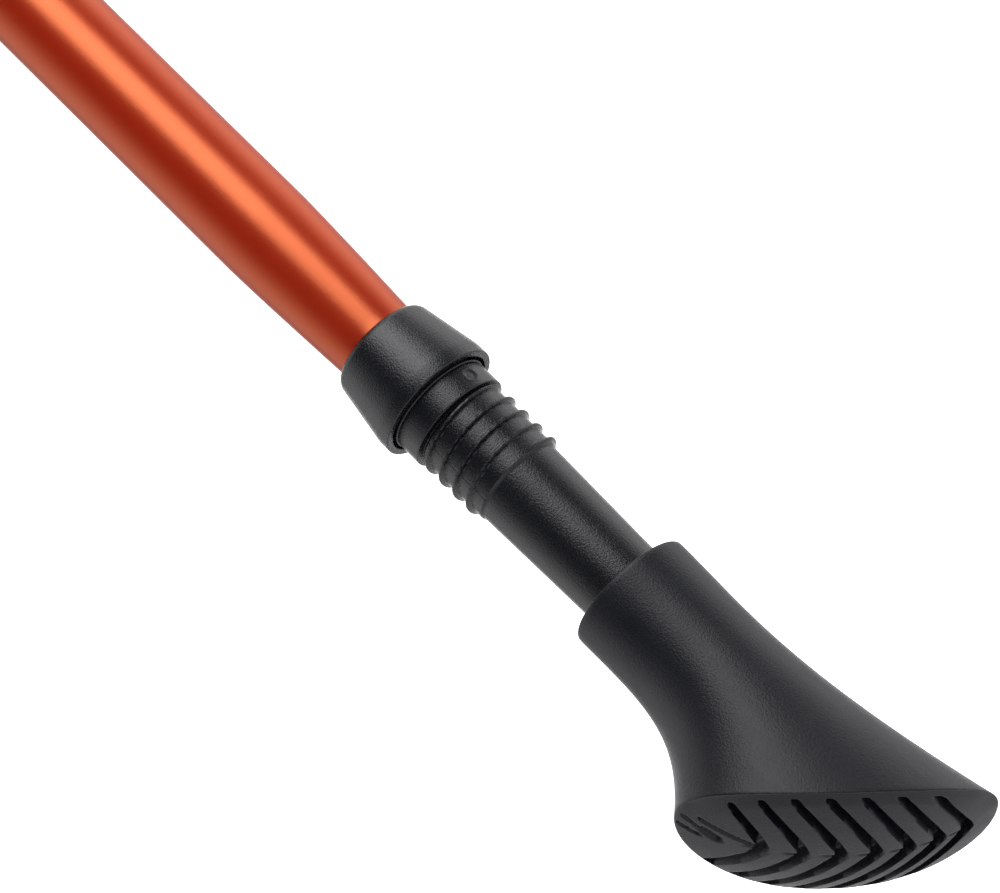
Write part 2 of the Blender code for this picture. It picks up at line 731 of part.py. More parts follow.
def bored(name, rows, bore_r, material, count=ROUND_STEPS):
    """An oval sleeve through the rows, with a round bore from end to end."""
    rings = [ellipse(*row, count) for row in rows]
    low, high = rows[0][0], rows[-1][0]
    rings += [ellipse(z, 0.0, bore_r, bore_r, count) for z in (high, low)]
    obj = loft(name, rings, np.zeros(3), caps=False)
    mesh = bmesh.new()
    mesh.from_mesh(obj.data)
    mesh.verts.ensure_lookup_table()
    last = (len(rings) - 1) * count
    for i in range(count):
        j = (i + 1) % count
        mesh.faces.new([mesh.verts[k] for k in (i, j, last + j, last + i)])
    bmesh.ops.recalc_face_normals(mesh, faces=mesh.faces)
    mesh.to_mesh(obj.data)
    mesh.free()
    shade(obj.data)
    return place(obj, material)


def make_grip_core():
    bore = UPPER_R + PRESS_GAP
    profile = [(CORE_R, CORK_TOP), (CORE_R, GRIP_BOTTOM), (bore, GRIP_BOTTOM), (bore, CORK_TOP)]
    return turned("grip_core", profile, BLACK)


def make_grip_cork():
    rows = stations(CORK_STATIONS, GRIP_BOTTOM, CORK_TOP)
    return bored("grip_cork", between(rows, 12), CORE_R + PRESS_GAP, CORK)


def make_grip_end_ring():
    top = GRIP_BOTTOM - SEAT_GAP
    bore = UPPER_R + PRESS_GAP
    cork = CORK_STATIONS[0]
    wide, deep = CORE_R + cork[2], CORE_R + cork[3]
    thin = bore + END_RING_WALL
    rows = [
        (top - END_RING, 0.0, thin, thin), (top - END_RING * 0.8, 0.0, thin + 0.9, thin + 1.1),
        (top - END_RING * 0.4, 0.0, (thin + wide) / 2 + 1.1, (thin + deep) / 2 + 1.3),
        (top - 0.8, 0.0, wide + 0.5, deep + 0.5), (top, 0.0, wide + 0.1, deep + 0.1),
    ]
    return bored("grip_end_ring", rows, bore, BLACK)


def make_grip_head():
    rows = stations(HEAD_STATIONS, CORK_TOP + SEAT_GAP, GRIP_TOP)
    rings = [ellipse(*row, ROUND_STEPS) for row in between(rows, 9)]
    obj = place(loft("grip_head", rings, np.zeros(3)), BLACK)
    low, high = PIN_Z - LUG_HALF_HEIGHT, PIN_Z + LUG_HALF_HEIGHT
    back = PIN_Y - LUG_BEHIND_PIN
    lug = cutter(box("lug", (-LUG_HALF_WIDTH, back, low), (LUG_HALF_WIDTH, -CORE_R, high)))
    bevel = lug.modifiers.new("round", "BEVEL")
    bevel.width = LUG_ROUND * MM
    bevel.segments = 3
    union = obj.modifiers.new("lug", "BOOLEAN")
    union.operation = "UNION"
    union.solver = "EXACT"
    union.object = lug
    floor = PIN_Y + LOOP_R + NOTCH_GAP
    notch_low = (-NOTCH_HALF_WIDTH, back - 3, CORK_TOP - 6)
    cut(obj, cutter(box("strap_notch", notch_low, (NOTCH_HALF_WIDTH, floor, GRIP_TOP + 4))))
    hole, side = PIN_R + PRESS_GAP, LUG_HALF_WIDTH + 2
    cut(obj, cutter(cylinder("pin_hole", hole, -side, side, "X", (PIN_Y, PIN_Z), HIDDEN_STEPS)))
    tube = UPPER_R + PRESS_GAP
    cut(obj, cutter(cylinder("tube_socket", tube, CORK_TOP - 5, UPPER_TUBE_TOP + SEAT_GAP)))
    return obj


def make_grip_cap():
    low = GRIP_TOP + SEAT_GAP
    _, forward, ax, ay = HEAD_STATIONS[-1]
    half_x, half_y = CORE_R + ax - CAP_INSET, CORE_R + ay - CAP_INSET
    rows = []
    for k in range(7):
        t = k / 6
        share = math.sqrt(max(1 - t * t, 0.0)) * 0.75 + 0.25 * (1 - t)
        rows.append((low + CAP_HEIGHT * t, forward, max(half_x * share, 0.8), max(half_y * share, 1.2)))
    return place(loft("grip_cap", [ellipse(*row, ROUND_STEPS) for row in rows], np.zeros(3)), GREY)


def make_strap_pin():
    half = LUG_HALF_WIDTH - 0.3
    pin = cylinder("strap_pin", PIN_R, -half, half, "X", (PIN_Y, PIN_Z), HIDDEN_STEPS)
    return place(pin, STEEL)


# Strap

def make_strap_webbing():
    """Webbing sewn round the pin: a flat outline seen from the side, as wide as the strap."""
    front = 2 * WEBBING_THICK - LOOP_R
    turns = np.radians(np.linspace(-115, 180, 15))
    outline = [(LOOP_R * math.cos(a), LOOP_R * math.sin(a)) for a in turns]
    outline += [(-LOOP_R, -WEBBING_DROP), (front, -WEBBING_DROP), (front, -LOOP_R - 3.0)]
    curve = bpy.data.curves.new("strap_webbing", "CURVE")
    curve.dimensions = "2D"
    curve.fill_mode = "BOTH"
    curve.extrude = WEBBING_WIDTH / 2 * MM
    add_loop(curve, outline)
    eye = PIN_R + RUN_GAP
    round_the_pin = np.linspace(0, 2 * math.pi, HIDDEN_STEPS, endpoint=False)
    add_loop(curve, [(eye * math.cos(a), eye * math.sin(a)) for a in round_the_pin])
    obj = bpy.data.objects.new("strap_webbing", curve)
    obj.rotation_euler = (math.pi / 2, 0.0, math.pi / 2)
    obj.location = (0.0, PIN_Y * MM, PIN_Z * MM)
    return place(obj, FABRIC)


def add_loop(curve, outline):
    spline = curve.splines.new("POLY")
    spline.points.add(len(outline) - 1)
    for point, (a, b) in zip(spline.points, outline):
        point.co = (a * MM, b * MM, 0.0, 1.0)
    spline.use_cyclic_u = True


def mitt_point(turn, share, outward=0.0):
    """A point of the mitt's inner face: turn round the hand, share from the fingers to the wrist."""
    half_y = MITT_HALF_DEPTH + (WRIST_HALF_DEPTH - MITT_HALF_DEPTH) * smooth(share) + outward
    half_x = MITT_HALF_WIDTH + (WRIST_HALF_WIDTH - MITT_HALF_WIDTH) * smooth(share) + outward
    top = MITT_TOP - MITT_SLANT * (0.5 - 0.5 * math.sin(turn))
    z = top + (MITT_BOTTOM - top) * share
    return np.array((half_x * math.cos(turn), MITT_CENTRE_Y + half_y * math.sin(turn), z))


def sheet_patch(name, turns, shares, outward, thick, origin, material):
    """A band of the strap, that far outside the mitt's inner face; closed where it goes all round."""
    count = len(turns)
    closed = turns[-1] - turns[0] > math.radians(300)
    points = [tuple((mitt_point(turn, share, outward) - origin) * MM) for share in shares for turn in turns]
    faces = []
    for k in range(len(shares) - 1):
        for i in range(count if closed else count - 1):
            j = (i + 1) % count
            faces.append((k * count + i, (k + 1) * count + i, (k + 1) * count + j, k * count + j))
    mesh = bpy.data.meshes.new(name)
    mesh.from_pydata(points, [], faces)
    shade(mesh)
    obj = bpy.data.objects.new(name, mesh)
    obj.location = Vector(origin) * MM
    wall = obj.modifiers.new("wall", "SOLIDIFY")
    wall.thickness = thick * MM
    wall.offset = 1.0
    return place(obj, material)


def all_round():
    return [2 * math.pi * i / ROUND_STEPS for i in range(ROUND_STEPS)]


def make_strap_mitt():
    pin = np.array((0.0, PIN_Y, PIN_Z))
    obj = sheet_patch("strap_mitt", all_round(), np.linspace(0, 1, 6), 0.0, MITT_THICK, pin, FABRIC)
    cut(obj, thumb_cutter())
    return obj


def thumb_cutter():
    """The oval hole that the thumb comes out of, toward the grip and below the webbing."""
    rings = []
    for y in (MITT_FRONT + 2.0, MITT_CENTRE_Y):
        turns = [2 * math.pi * i / HIDDEN_STEPS for i in range(HIDDEN_STEPS)]
        rings.append([(THUMB_HALF_WIDTH * math.cos(a), y, MITT_TOP - THUMB_DROP + THUMB_HALF_HEIGHT * math.sin(a))
                      for a in turns])
    return cutter(loft("thumb_hole", rings, np.zeros(3)))


def make_wrist_cuff():
    pin = np.array((0.0, PIN_Y, PIN_Z))
    low = 1 - CUFF_MARGIN / MITT_HEIGHT
    shares = np.linspace(low - CUFF_HEIGHT / MITT_HEIGHT, low, 4)
    return sheet_patch("wrist_cuff", all_round(), shares, MITT_THICK + SEAT_GAP, CUFF_THICK, pin, WEB)


def make_closure_tab():
    turns = np.radians(np.linspace(TAB_SEAM, TAB_END, 12))
    outward = MITT_THICK + CUFF_THICK + 2 * SEAT_GAP
    low = 1 - (CUFF_MARGIN + (CUFF_HEIGHT - TAB_HEIGHT) / 2) / MITT_HEIGHT
    shares = np.linspace(low - TAB_HEIGHT / MITT_HEIGHT, low, 3)
    seam = mitt_point(turns[0], low - TAB_HEIGHT / MITT_HEIGHT / 2, outward)
    return sheet_patch("closure_tab", turns, shares, outward, TAB_THICK, seam, WEB)


clear_scene()
POLE = new_collection("nordic_walking_pole")
CUTTERS = new_collection("cutters")
ORANGE = make_material("orange_anodised", (0.62, 0.08, 0.02), 0.3, 0.9)
BLACK = make_material("black_moulding", (0.016, 0.016, 0.018), 0.5)
RUBBER = make_material("black_rubber", (0.014, 0.014, 0.016), 0.6)
GREY = make_material("grey_plastic", (0.12, 0.12, 0.13), 0.5)
STEEL = make_material("steel", (0.55, 0.55, 0.56), 0.3, 1.0)
CARBIDE = make_material("carbide", (0.25, 0.25, 0.27), 0.25, 1.0)
BRASS = make_material("brass", (0.7, 0.5, 0.2), 0.3, 1.0)
CORK = make_material("cork", (0.55, 0.36, 0.2), 0.85)
FABRIC = make_material("black_fabric", (0.02, 0.02, 0.022), 0.9)
WEB = make_material("webbing", (0.03, 0.03, 0.032), 0.8)

make_upper_tube()
make_lower_tube()
make_tube_bush()
make_tip_body()
make_tip_holder()
make_carbide_tip()
make_foot()
make_foot_washer()
make_lock_plug()
make_lock_spindle()
make_lock_expander()
make_lock_cone()
make_spindle_stop()
make_grip_core()
make_grip_cork()
make_grip_end_ring()
make_grip_head()
make_grip_cap()
make_strap_pin()
make_strap_webbing()
make_strap_mitt()
make_wrist_cuff()
make_closure_tab()
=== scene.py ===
"""Looks of a nordic walking pole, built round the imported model.

Lengths in this script are in millimetres and become metres where a mesh is made. The pole stands
along Z with the hand at the origin, the grip's front toward +Y and its strap behind. Along the tip,
s is the distance down from the joint between the orange tube and its black moulding.
"""
import math

import bmesh
import bpy
import numpy as np
from mathutils import Matrix, Vector


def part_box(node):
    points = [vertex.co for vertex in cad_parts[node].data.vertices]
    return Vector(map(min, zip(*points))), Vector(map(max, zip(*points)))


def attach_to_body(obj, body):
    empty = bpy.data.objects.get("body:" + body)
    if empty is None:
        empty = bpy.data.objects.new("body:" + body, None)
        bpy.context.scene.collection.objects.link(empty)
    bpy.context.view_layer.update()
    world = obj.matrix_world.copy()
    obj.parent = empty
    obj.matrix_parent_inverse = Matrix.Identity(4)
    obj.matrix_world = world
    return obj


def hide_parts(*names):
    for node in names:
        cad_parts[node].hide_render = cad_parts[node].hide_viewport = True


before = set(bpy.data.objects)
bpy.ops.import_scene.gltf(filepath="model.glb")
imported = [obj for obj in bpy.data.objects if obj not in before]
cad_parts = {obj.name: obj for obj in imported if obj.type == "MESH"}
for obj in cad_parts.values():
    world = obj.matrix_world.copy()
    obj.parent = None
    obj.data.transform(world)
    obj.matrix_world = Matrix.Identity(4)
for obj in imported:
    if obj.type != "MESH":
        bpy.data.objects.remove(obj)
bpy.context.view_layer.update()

MM = 0.001
TAU = 2 * math.pi

# The photograph: its camera, and where the tube meets the moulding in it
PHOTO_WIDTH = 1000
PHOTO_HEIGHT = 893
FOCAL_PX = 5000.0
PX_PER_MM = 7.58
JUNCTION_PX = (375.5, 340.5)
POLE_IN_PICTURE = (0.7122, 0.7019)
POLE_TILT = math.radians(19.0)
FOOT_TURN = math.radians(22.15)
SENSOR = 36.0

# Gaps between pieces, as in the frame
PRESS_GAP = 0.1
SEAT_GAP = 0.3

# Tip moulding
COLLAR_START = 0.6
COLLAR_TOP_R = 7.45
COLLAR_CONE_END = 10.65
COLLAR_LENGTH = 12.55
COLLAR_ROUND = 1.5
SHOULDER_DROP = 0.35
RECESS_R = 8.1
RECESS_DEPTH = 1.6
STEP_R = 7.62
STEP_S = 12.66
NECK_R = 7.5
NECK_END = 16.6
VALLEY_R = 6.7
SHAFT_TOP = 28.4
SHAFT_R = 6.47
SHAFT_TAPER = 0.0205
HOLDER_R = 3.5
HOLDER_DEPTH = 13.0
THREAD_PITCH = 2.61
THREAD_START = 16.87
THREAD_TURNS = 4.1
THREAD_PHASE = math.radians(248.0)
THREAD_CREST = 0.62
EJECTOR_MARK = (-6.77, -3.24, -665.64)
PARTING_TURN = math.radians(114.1)

# Rubber foot. The heel and toe lines are cubic curves from the rim: toward the toe, and down
RIM_S = 49.3
RIM_R = 9.0
MOUTH_R = 6.9
HEEL_LINE = ((-RIM_R, 0.0), (-RIM_R, 11.8), (-8.1, 18.3), (-17.6, 26.8))
TOE_LINE = ((RIM_R, 0.0), (RIM_R, 13.1), (6.6, 21.1), (14.2, 53.1))
SOLE_HALF_WIDTH = 14.7
SOLE_FULLNESS = 2.15
SOLE_ROCKER = 4.0
SOLE_CROWN = 2.0
FLARE_POWER = 2.16
RIM_SLANT = 0.028
RIM_LIFT = 0.2
RIM_SLANT_REACH = 4.0
SOLE_EDGE_ROUND = 0.5

# Tread, from the sole's middle along its chord: chevrons whose tips lie a little to the near side
GROOVES = 7
GROOVE_FIRST = -9.75
GROOVE_PITCH = 5.2
GROOVE_CLOSING = 0.145
GROOVE_DEPTH = 2.1
ARM_START = 0.45
ARM_END = 0.7
ARM_STEP = 0.03
TIP_ROUND = 0.6
TIP_ASIDE = 0.5
TOE_GRID = 0.36
HEEL_GRID = 0.34
EDGE_STEPS = 6
FOOT_COUNT = 400
# Folds and nicks: from and to, along the chord and toward the near side, half width, depth
NICKS = (
    ((-17.6, 3.0), (-10.4, 0.7), 0.3, 0.9), ((-17.0, 0.6), (-15.3, -0.4), 0.75, 1.2),
    ((-19.9, -0.7), (-17.6, -1.2), 0.32, 0.8), ((-19.6, 1.9), (-17.9, 0.9), 0.3, 0.8),
)

# Tubes and bush
TUBE_WALL = 0.8
UPPER_WALL = 0.65
SWAGED_R = 6.175
SWAGE_LENGTH = 22.0
SWAGE_POWER = 1.25
BUSH_LIP = 8.0
BUSH_GROOVE_DEPTH = 0.35

# Twist lock
PLUG_BORE = 3.1
CONE_BORE = 3.3
SPINDLE_PITCH = 0.8
SPINDLE_THREAD = 0.35

# Grip. Each station: share of the height, offset toward the front, and x and y beyond the core
CORE_R = 11.0
CORK_STATIONS = (
    (0.0, 0.0, 1.6, 2.8), (0.1, 0.0, 2.6, 4.0), (0.25, 0.5, 2.2, 4.2), (0.44, 1.2, 2.9, 5.4),
    (0.62, 1.0, 3.2, 5.8), (0.78, 0.2, 2.2, 4.4), (0.9, -0.6, 2.0, 4.0), (1.0, -0.8, 3.0, 5.4),
)
HEAD_STATIONS = (
    (0.0, -0.8, 3.2, 5.6), (0.22, -0.4, 3.9, 7.0), (0.5, 0.6, 4.2, 8.4),
    (0.77, 1.6, 3.9, 9.0), (0.95, 2.2, 3.0, 8.4), (1.0, 2.2, 2.0, 7.4),
)
RING_GROOVE = 0.28
RIB_PITCH = 3.0
RIB_DEPTH = 0.5
PIN_R = 1.5
PIN_Y = -22.0
PIN_Z = 58.0
LOOP_R = 3.4
LUG_HALF_HEIGHT = 8.0
LUG_HALF_WIDTH = 11.0
LUG_BEHIND_PIN = 4.0
NOTCH_HALF_WIDTH = 8.6
NOTCH_GAP = 0.6

# Strap. The tab's seam and end are degrees round the wrist, its sewn box is degrees from the seam, and
# the play is the room that each strap has on either side
WEBBING_WIDTH = 16.0
WEBBING_THICK = 1.5
WEBBING_END = 12.0
MITT_HEIGHT = 78.0
MITT_SLANT = 9.0
MITT_HALF_DEPTH = 38.0
WRIST_HALF_DEPTH = 30.0
MITT_HALF_WIDTH = 17.0
WRIST_HALF_WIDTH = 21.0
MITT_THICK = 2.4
MITT_CENTRE_Y = -66.1
MITT_TOP = 26.0
MITT_BOTTOM = -52.0
THUMB_Z = -5.0
THUMB_HALF_WIDTH = 12.0
THUMB_HALF_HEIGHT = 13.0
CUFF_HEIGHT = 26.0
CUFF_MARGIN = 1.2
CUFF_THICK = 1.3
TAB_HEIGHT = 20.0
TAB_THICK = 1.1
TAB_SEAM = 168.0
TAB_END = 268.0
TAB_BOX = (3.5, 18.0)
STITCH_PITCH = 3.1
STITCH_LENGTH = 2.3
STITCH_THICK = 0.5
STRAP_PLAY = 0.05
CUFF_SHARE = 1 - (CUFF_MARGIN + CUFF_HEIGHT / 2) / MITT_HEIGHT
CUFF_OUTWARD = MITT_THICK + SEAT_GAP + CUFF_THICK / 2 + STRAP_PLAY
TAB_OUTWARD = CUFF_OUTWARD + CUFF_THICK / 2 + STRAP_PLAY + SEAT_GAP + TAB_THICK / 2 + STRAP_PLAY
TAPE_HALF_THICK = 1.75

# The mitt's simulation: where its cloth is held, for how many frames it sinks, and how deep at most
HELD_BELOW = -22.0
HELD_BEFORE = -32.0
HELD_MARGIN = 1.5
SETTLE_FRAMES = 20
CREASE = 2.4

# Studio
FLOOR_Z = -1270.0
LAMP_DISTANCE = 900.0


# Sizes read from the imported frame

def reach(node):
    """A CAD node's lowest and highest corners, in millimetres."""
    low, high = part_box(node)
    return low / MM, high / MM


TIP_LOW, TIP_HIGH = reach("tip_body")
JUNCTION = TIP_HIGH.z + COLLAR_START
COLLAR_R = TIP_HIGH.x
SHAFT_END = JUNCTION - TIP_LOW.z
TUBE_R = reach("lower_tube")[1].x
UPPER_R = reach("upper_tube")[1].x
UPPER_BORE = UPPER_R + PRESS_GAP
TUBE_TOP = reach("upper_tube")[1].z
BUSH_R = reach("tube_bush")[1].x
CORK_LOW, CORK_HIGH = (corner.z for corner in reach("grip_cork"))
HEAD_LOW, HEAD_HIGH = (corner.z for corner in reach("grip_head"))


# Node trees, written as expressions

def operator(operation, swapped=False):
    """A method for one of Python's operators, which adds that operation's node."""
    def method(self, other):
        return Graph(self.tree).math(operation, *((other, self) if swapped else (self, other)))
    return method


class Flow:
    """One output of a node, which Python's operators work on."""

    def __init__(self, tree, socket):
        self.tree = tree
        self.socket = socket

    __add__, __radd__ = operator("ADD"), operator("ADD", True)
    __sub__, __rsub__ = operator("SUBTRACT"), operator("SUBTRACT", True)
    __mul__, __rmul__ = operator("MULTIPLY"), operator("MULTIPLY", True)
    __truediv__ = operator("DIVIDE")
    __pow__ = operator("POWER")

    def __abs__(self):
        return Graph(self.tree).math("ABSOLUTE", self)


def feed(tree, socket, value):
    """Links a flow to a node's input, or sets the input to a plain value."""
    if isinstance(value, Flow):
        tree.links.new(value.socket, socket)
    else:
        socket.default_value = value


class Graph:
    """A node tree, with short methods that add its nodes."""

    def __init__(self, tree):
        self.tree = tree

    def node(self, kind, settings=None, inputs=None, output=0):
        node = self.tree.nodes.new(kind)
        for name, value in (settings or {}).items():
            setattr(node, name, value)
        for name, value in (inputs or {}).items():
            feed(self.tree, node.inputs[name], value)
        return Flow(self.tree, node.outputs[output])

    def math(self, operation, *values):
        return self.node("ShaderNodeMath", {"operation": operation}, dict(enumerate(values)))

    def vector(self, operation, first, second, output="Vector"):
        return self.node("ShaderNodeVectorMath", {"operation": operation}, {0: first, 1: second}, output)

    def scaled(self, vector, factor):
        return self.node("ShaderNodeVectorMath", {"operation": "SCALE"}, {0: vector, "Scale": factor})

    def least(self, first, second):
        return self.math("MINIMUM", first, second)

    def most(self, first, second):
        return self.math("MAXIMUM", first, second)

    def step(self, value, low, high):
        """0 below low, 1 above high, and a smooth rise between; low may be the larger."""
        inputs = {"Value": value, "From Min": low, "From Max": high}
        return self.node("ShaderNodeMapRange", {"interpolation_type": "SMOOTHSTEP"}, inputs)

    def split(self, vector):
        parts = self.tree.nodes.new("ShaderNodeSeparateXYZ")
        feed(self.tree, parts.inputs[0], vector)
        return [Flow(self.tree, parts.outputs[k]) for k in range(3)]

    def join(self, x, y, z):
        return self.node("ShaderNodeCombineXYZ", None, {0: x, 1: y, 2: z})

    def along(self, vector, direction):
        """The vector's length along a fixed direction."""
        return self.vector("DOT_PRODUCT", vector, tuple(direction), "Value")

    def whole(self, value):
        return self.math("FLOOR", value)

    def wave(self, value):
        """A row of round hills, one to each whole step of the value."""
        return abs(self.math("SINE", value * math.pi))

    def lattice(self, across, along):
        """The distance to the middle of the unit square that a place lies in."""
        x, y = across - self.whole(across) - 0.5, along - self.whole(along) - 0.5
        return (x * x + y * y) ** 0.5

    def from_segment(self, place, start, end):
        """The distance from a place to a straight piece between two points of the same plane."""
        way = (end[0] - start[0], end[1] - start[1], 0.0)
        size = way[0] ** 2 + way[1] ** 2
        offset = self.vector("SUBTRACT", place, (*start, 0.0))
        share = self.least(self.most(self.along(offset, way) / size, 0.0), 1.0)
        return self.vector("DISTANCE", offset, self.scaled(way, share), "Value")

    def turn(self, x, y):
        """The angle of a place from the first axis toward the second."""
        return self.math("ARCTAN2", y, x)


class Paint(Graph):
    """A material's graph, ending in one Principled shader."""

    def __init__(self, name, roughness, metallic=0.0, **fixed):
        self.material = bpy.data.materials.new(name)
        self.material.use_nodes = True
        super().__init__(self.material.node_tree)
        self.shader = self.tree.nodes["Principled BSDF"]
        self.set("Roughness", roughness)
        self.set("Metallic", metallic)
        for key, value in fixed.items():
            self.set(key.replace("_", " "), value)
        self.point = self.node("ShaderNodeTexCoord", output="Object")

    def set(self, name, value):
        feed(self.tree, self.shader.inputs[name], value)

    def noise(self, size, detail=2.0, rough=0.5, stretch=(1.0, 1.0, 1.0)):
        """Cloudy noise from 0 to 1 whose spots are about that many millimetres."""
        place = self.node("ShaderNodeMapping", None, {"Vector": self.point, "Scale": stretch})
        inputs = {"Vector": place, "Scale": 1 / (size * MM), "Detail": detail, "Roughness": rough}
        return self.node("ShaderNodeTexNoise", None, inputs)

    def cells(self, size, feature="F1", output="Distance"):
        """Cells of about that many millimetres, packed without order."""
        inputs = {"Vector": self.point, "Scale": 1 / (size * MM)}
        return self.node("ShaderNodeTexVoronoi", {"feature": feature}, inputs, output)

    def woven_place(self):
        """A place on a cloth in millimetres, across and along it, from its own UV map."""
        parts = self.split(self.node("ShaderNodeUVMap", {"uv_map": "weave"}))
        return parts[0], parts[1]

    def mix(self, factor, first, second):
        return self.node("ShaderNodeMix", {"data_type": "RGBA"}, {0: factor, 6: first, 7: second}, 2)

    def bump(self, height, depth, strength):
        """Height from 0 to 1, over that many millimetres."""
        inputs = {"Height": height, "Distance": depth * MM, "Strength": strength}
        self.set("Normal", self.node("ShaderNodeBump", None, inputs))


def rgb(red, green, blue):
    """A colour as a screen shows it, from 0 to 255, in the renderer's linear values."""
    channels = [v / 255 for v in (red, green, blue)]
    return (*[c / 12.92 if c <= 0.04045 else ((c + 0.055) / 1.055) ** 2.4 for c in channels], 1.0)


# Materials

def anodised():
    """Dyed aluminium: an orange sheen over dark red, with a fine grain and faint lines from drawing."""
    paint = Paint("orange_anodised", 0.3, IOR=2.9, Specular_Tint=rgb(255, 150, 100))
    grain = paint.noise(0.2, 3.0, 0.7)
    cloud = paint.noise(9.0)
    drawn = paint.noise(0.2, stretch=(1.0, 1.0, 0.06))
    paint.set("Base Color", paint.mix(0.5 * cloud + 0.5 * grain, rgb(148, 16, 2), rgb(158, 24, 4)))
    paint.set("Roughness", 0.26 + 0.07 * grain + 0.04 * cloud)
    paint.bump(0.75 * grain + 0.25 * drawn, 0.03, 0.6)
    return paint.material


def moulding():
    """Black nylon with the fine grain of a spark-eroded mould, and its parting line across the thread."""
    paint = Paint("black_moulding", 0.5, Specular_IOR_Level=0.46)
    x, y, z = paint.split(paint.point)
    s = (JUNCTION * MM - z) / MM
    from_parting = abs(y * math.cos(PARTING_TURN) - x * math.sin(PARTING_TURN)) / MM
    on_thread = paint.step(s, NECK_END, NECK_END + 0.4) * paint.step(s, SHAFT_TOP, SHAFT_TOP - 0.5)
    parting = paint.step(from_parting, 0.16, 0.05) * on_thread
    grain = paint.noise(0.25, 2.0, 0.7)
    colour = paint.mix(paint.noise(5.0), rgb(7, 9, 15), rgb(12, 14, 20))
    paint.set("Base Color", paint.mix(0.7 * parting, colour, rgb(4, 4, 4)))
    paint.set("Roughness", 0.22 + 0.1 * grain)
    paint.bump(grain - 1.5 * parting, 0.09, 0.7)
    return paint.material


def rubber():
    """Black rubber with a soft sheen, faint flow marks and a little dust."""
    paint = Paint("black_rubber", 0.5, Specular_IOR_Level=0.32)
    grain = paint.noise(0.28, 2.0, 0.7)
    flow = paint.noise(3.0, 3.0, 0.6, stretch=(1.0, 1.0, 0.35))
    dust = paint.step(paint.noise(0.5, 2.0, 0.7), 0.72, 0.8)
    colour = paint.mix(flow, rgb(8, 10, 17), rgb(14, 16, 24))
    paint.set("Base Color", paint.mix(0.2 * dust, colour, rgb(110, 110, 112)))
    paint.set("Roughness", 0.335 + 0.14 * flow)
    paint.bump(0.85 * grain + 0.15 * flow, 0.13, 0.6)
    return paint.material


def plain_metal(name, colour, roughness):
    """Bare metal with faint lines from turning."""
    paint = Paint(name, roughness, 1.0)
    turned_lines = paint.noise(0.25, stretch=(0.05, 0.05, 1.0))
    darker = (*[0.8 * c for c in colour[:3]], 1.0)
    paint.set("Base Color", paint.mix(turned_lines, colour, darker))
    paint.bump(turned_lines, 0.01, 0.5)
    return paint.material


def grey_plastic():
    """Plain grey plastic with a faint grain."""
    paint = Paint("grey_plastic", 0.45)
    paint.set("Base Color", paint.mix(paint.noise(6.0), rgb(84, 85, 88), rgb(96, 97, 100)))
    paint.bump(paint.noise(0.3), 0.03, 0.4)
    return paint.material


def cork():
    """Pressed cork: pale granules of many tans, with dark seams and small pits between them."""
    paint = Paint("cork", 0.75, Specular_IOR_Level=0.3)
    shade = paint.split(paint.cells(1.7, output="Color"))[0]
    seam = 1 - paint.step(paint.cells(1.7, "DISTANCE_TO_EDGE"), 0.0, 0.09)
    pits = paint.step(paint.noise(0.9, 3.0, 0.65), 0.6, 0.7)
    tan = paint.mix(shade, rgb(168, 122, 78), rgb(204, 160, 112))
    tan = paint.mix(0.35 * paint.noise(2.0), tan, rgb(140, 92, 56))
    dark = paint.most(0.4 * seam, 0.8 * pits)
    paint.set("Base Color", paint.mix(dark, tan, rgb(84, 52, 30)))
    paint.set("Roughness", 0.68 + 0.2 * shade)
    paint.bump(1 - dark, 0.14, 0.7)
    return paint.material


def mesh_cloth():
    """Knitted spacer mesh: dark grey yarn round staggered small holes, which are painted near black as
    painted shade.
    """
    paint = Paint("mitt_fabric", 0.85, Specular_IOR_Level=0.25, Sheen_Weight=0.3)
    across, along = paint.woven_place()
    first = paint.lattice(across / 1.9, along / 3.2)
    second = paint.lattice(across / 1.9 + 0.5, along / 3.2 + 0.5)
    hole = paint.step(paint.least(first, second), 0.3, 0.2)
    yarn = paint.noise(0.35, 2.0, 0.6)
    colour = paint.mix(yarn, rgb(58, 58, 61), rgb(86, 86, 90))
    # The holes are painted near black: painted shade inside them, where light doesn't reach.
    paint.set("Base Color", paint.mix(hole, colour, rgb(16, 16, 17)))
    paint.set("Roughness", 0.75 + 0.2 * yarn)
    paint.bump(0.8 * (1 - hole) + 0.2 * yarn, 0.35, 0.8)
    return paint.material


def woven_tape():
    """Plain-woven polyester tape: warp and weft go over each other by turns; the yarn is painted lighter on
    top and darker where it dips, as painted highlight and painted shade.
    """
    paint = Paint("webbing", 0.7, Specular_IOR_Level=0.3, Sheen_Weight=0.2)
    warp, along = paint.woven_place()
    weft = along / 1.3
    over = paint.wave(warp + paint.whole(weft)) * paint.wave(weft)
    yarn = paint.noise(0.3, 2.0, 0.6)
    # Painted highlight where a yarn rises over the other, and painted shade where it dips under.
    paint.set("Base Color", paint.mix(over, rgb(26, 26, 28), rgb(58, 58, 61)))
    paint.set("Roughness", 0.6 + 0.2 * yarn)
    paint.bump(0.8 * over + 0.2 * yarn, 0.22, 0.8)
    return paint.material


def thread_yarn():
    """Grey sewing thread."""
    paint = Paint("sewing_thread", 0.6)
    paint.set("Base Color", paint.mix(paint.noise(0.4), rgb(96, 96, 100), rgb(128, 128, 132)))
    return paint.material


# Forms

def new_object(name, data):
    """An object in the scene."""
    obj = bpy.data.objects.new(name, data)
    bpy.context.scene.collection.objects.link(obj)
    return obj


def new_mesh(name, points, edges, faces):
    """A mesh from points in millimetres."""
    mesh = bpy.data.meshes.new(name)
    mesh.from_pydata((np.array(points, float) * MM).tolist(), edges, faces)
    return mesh


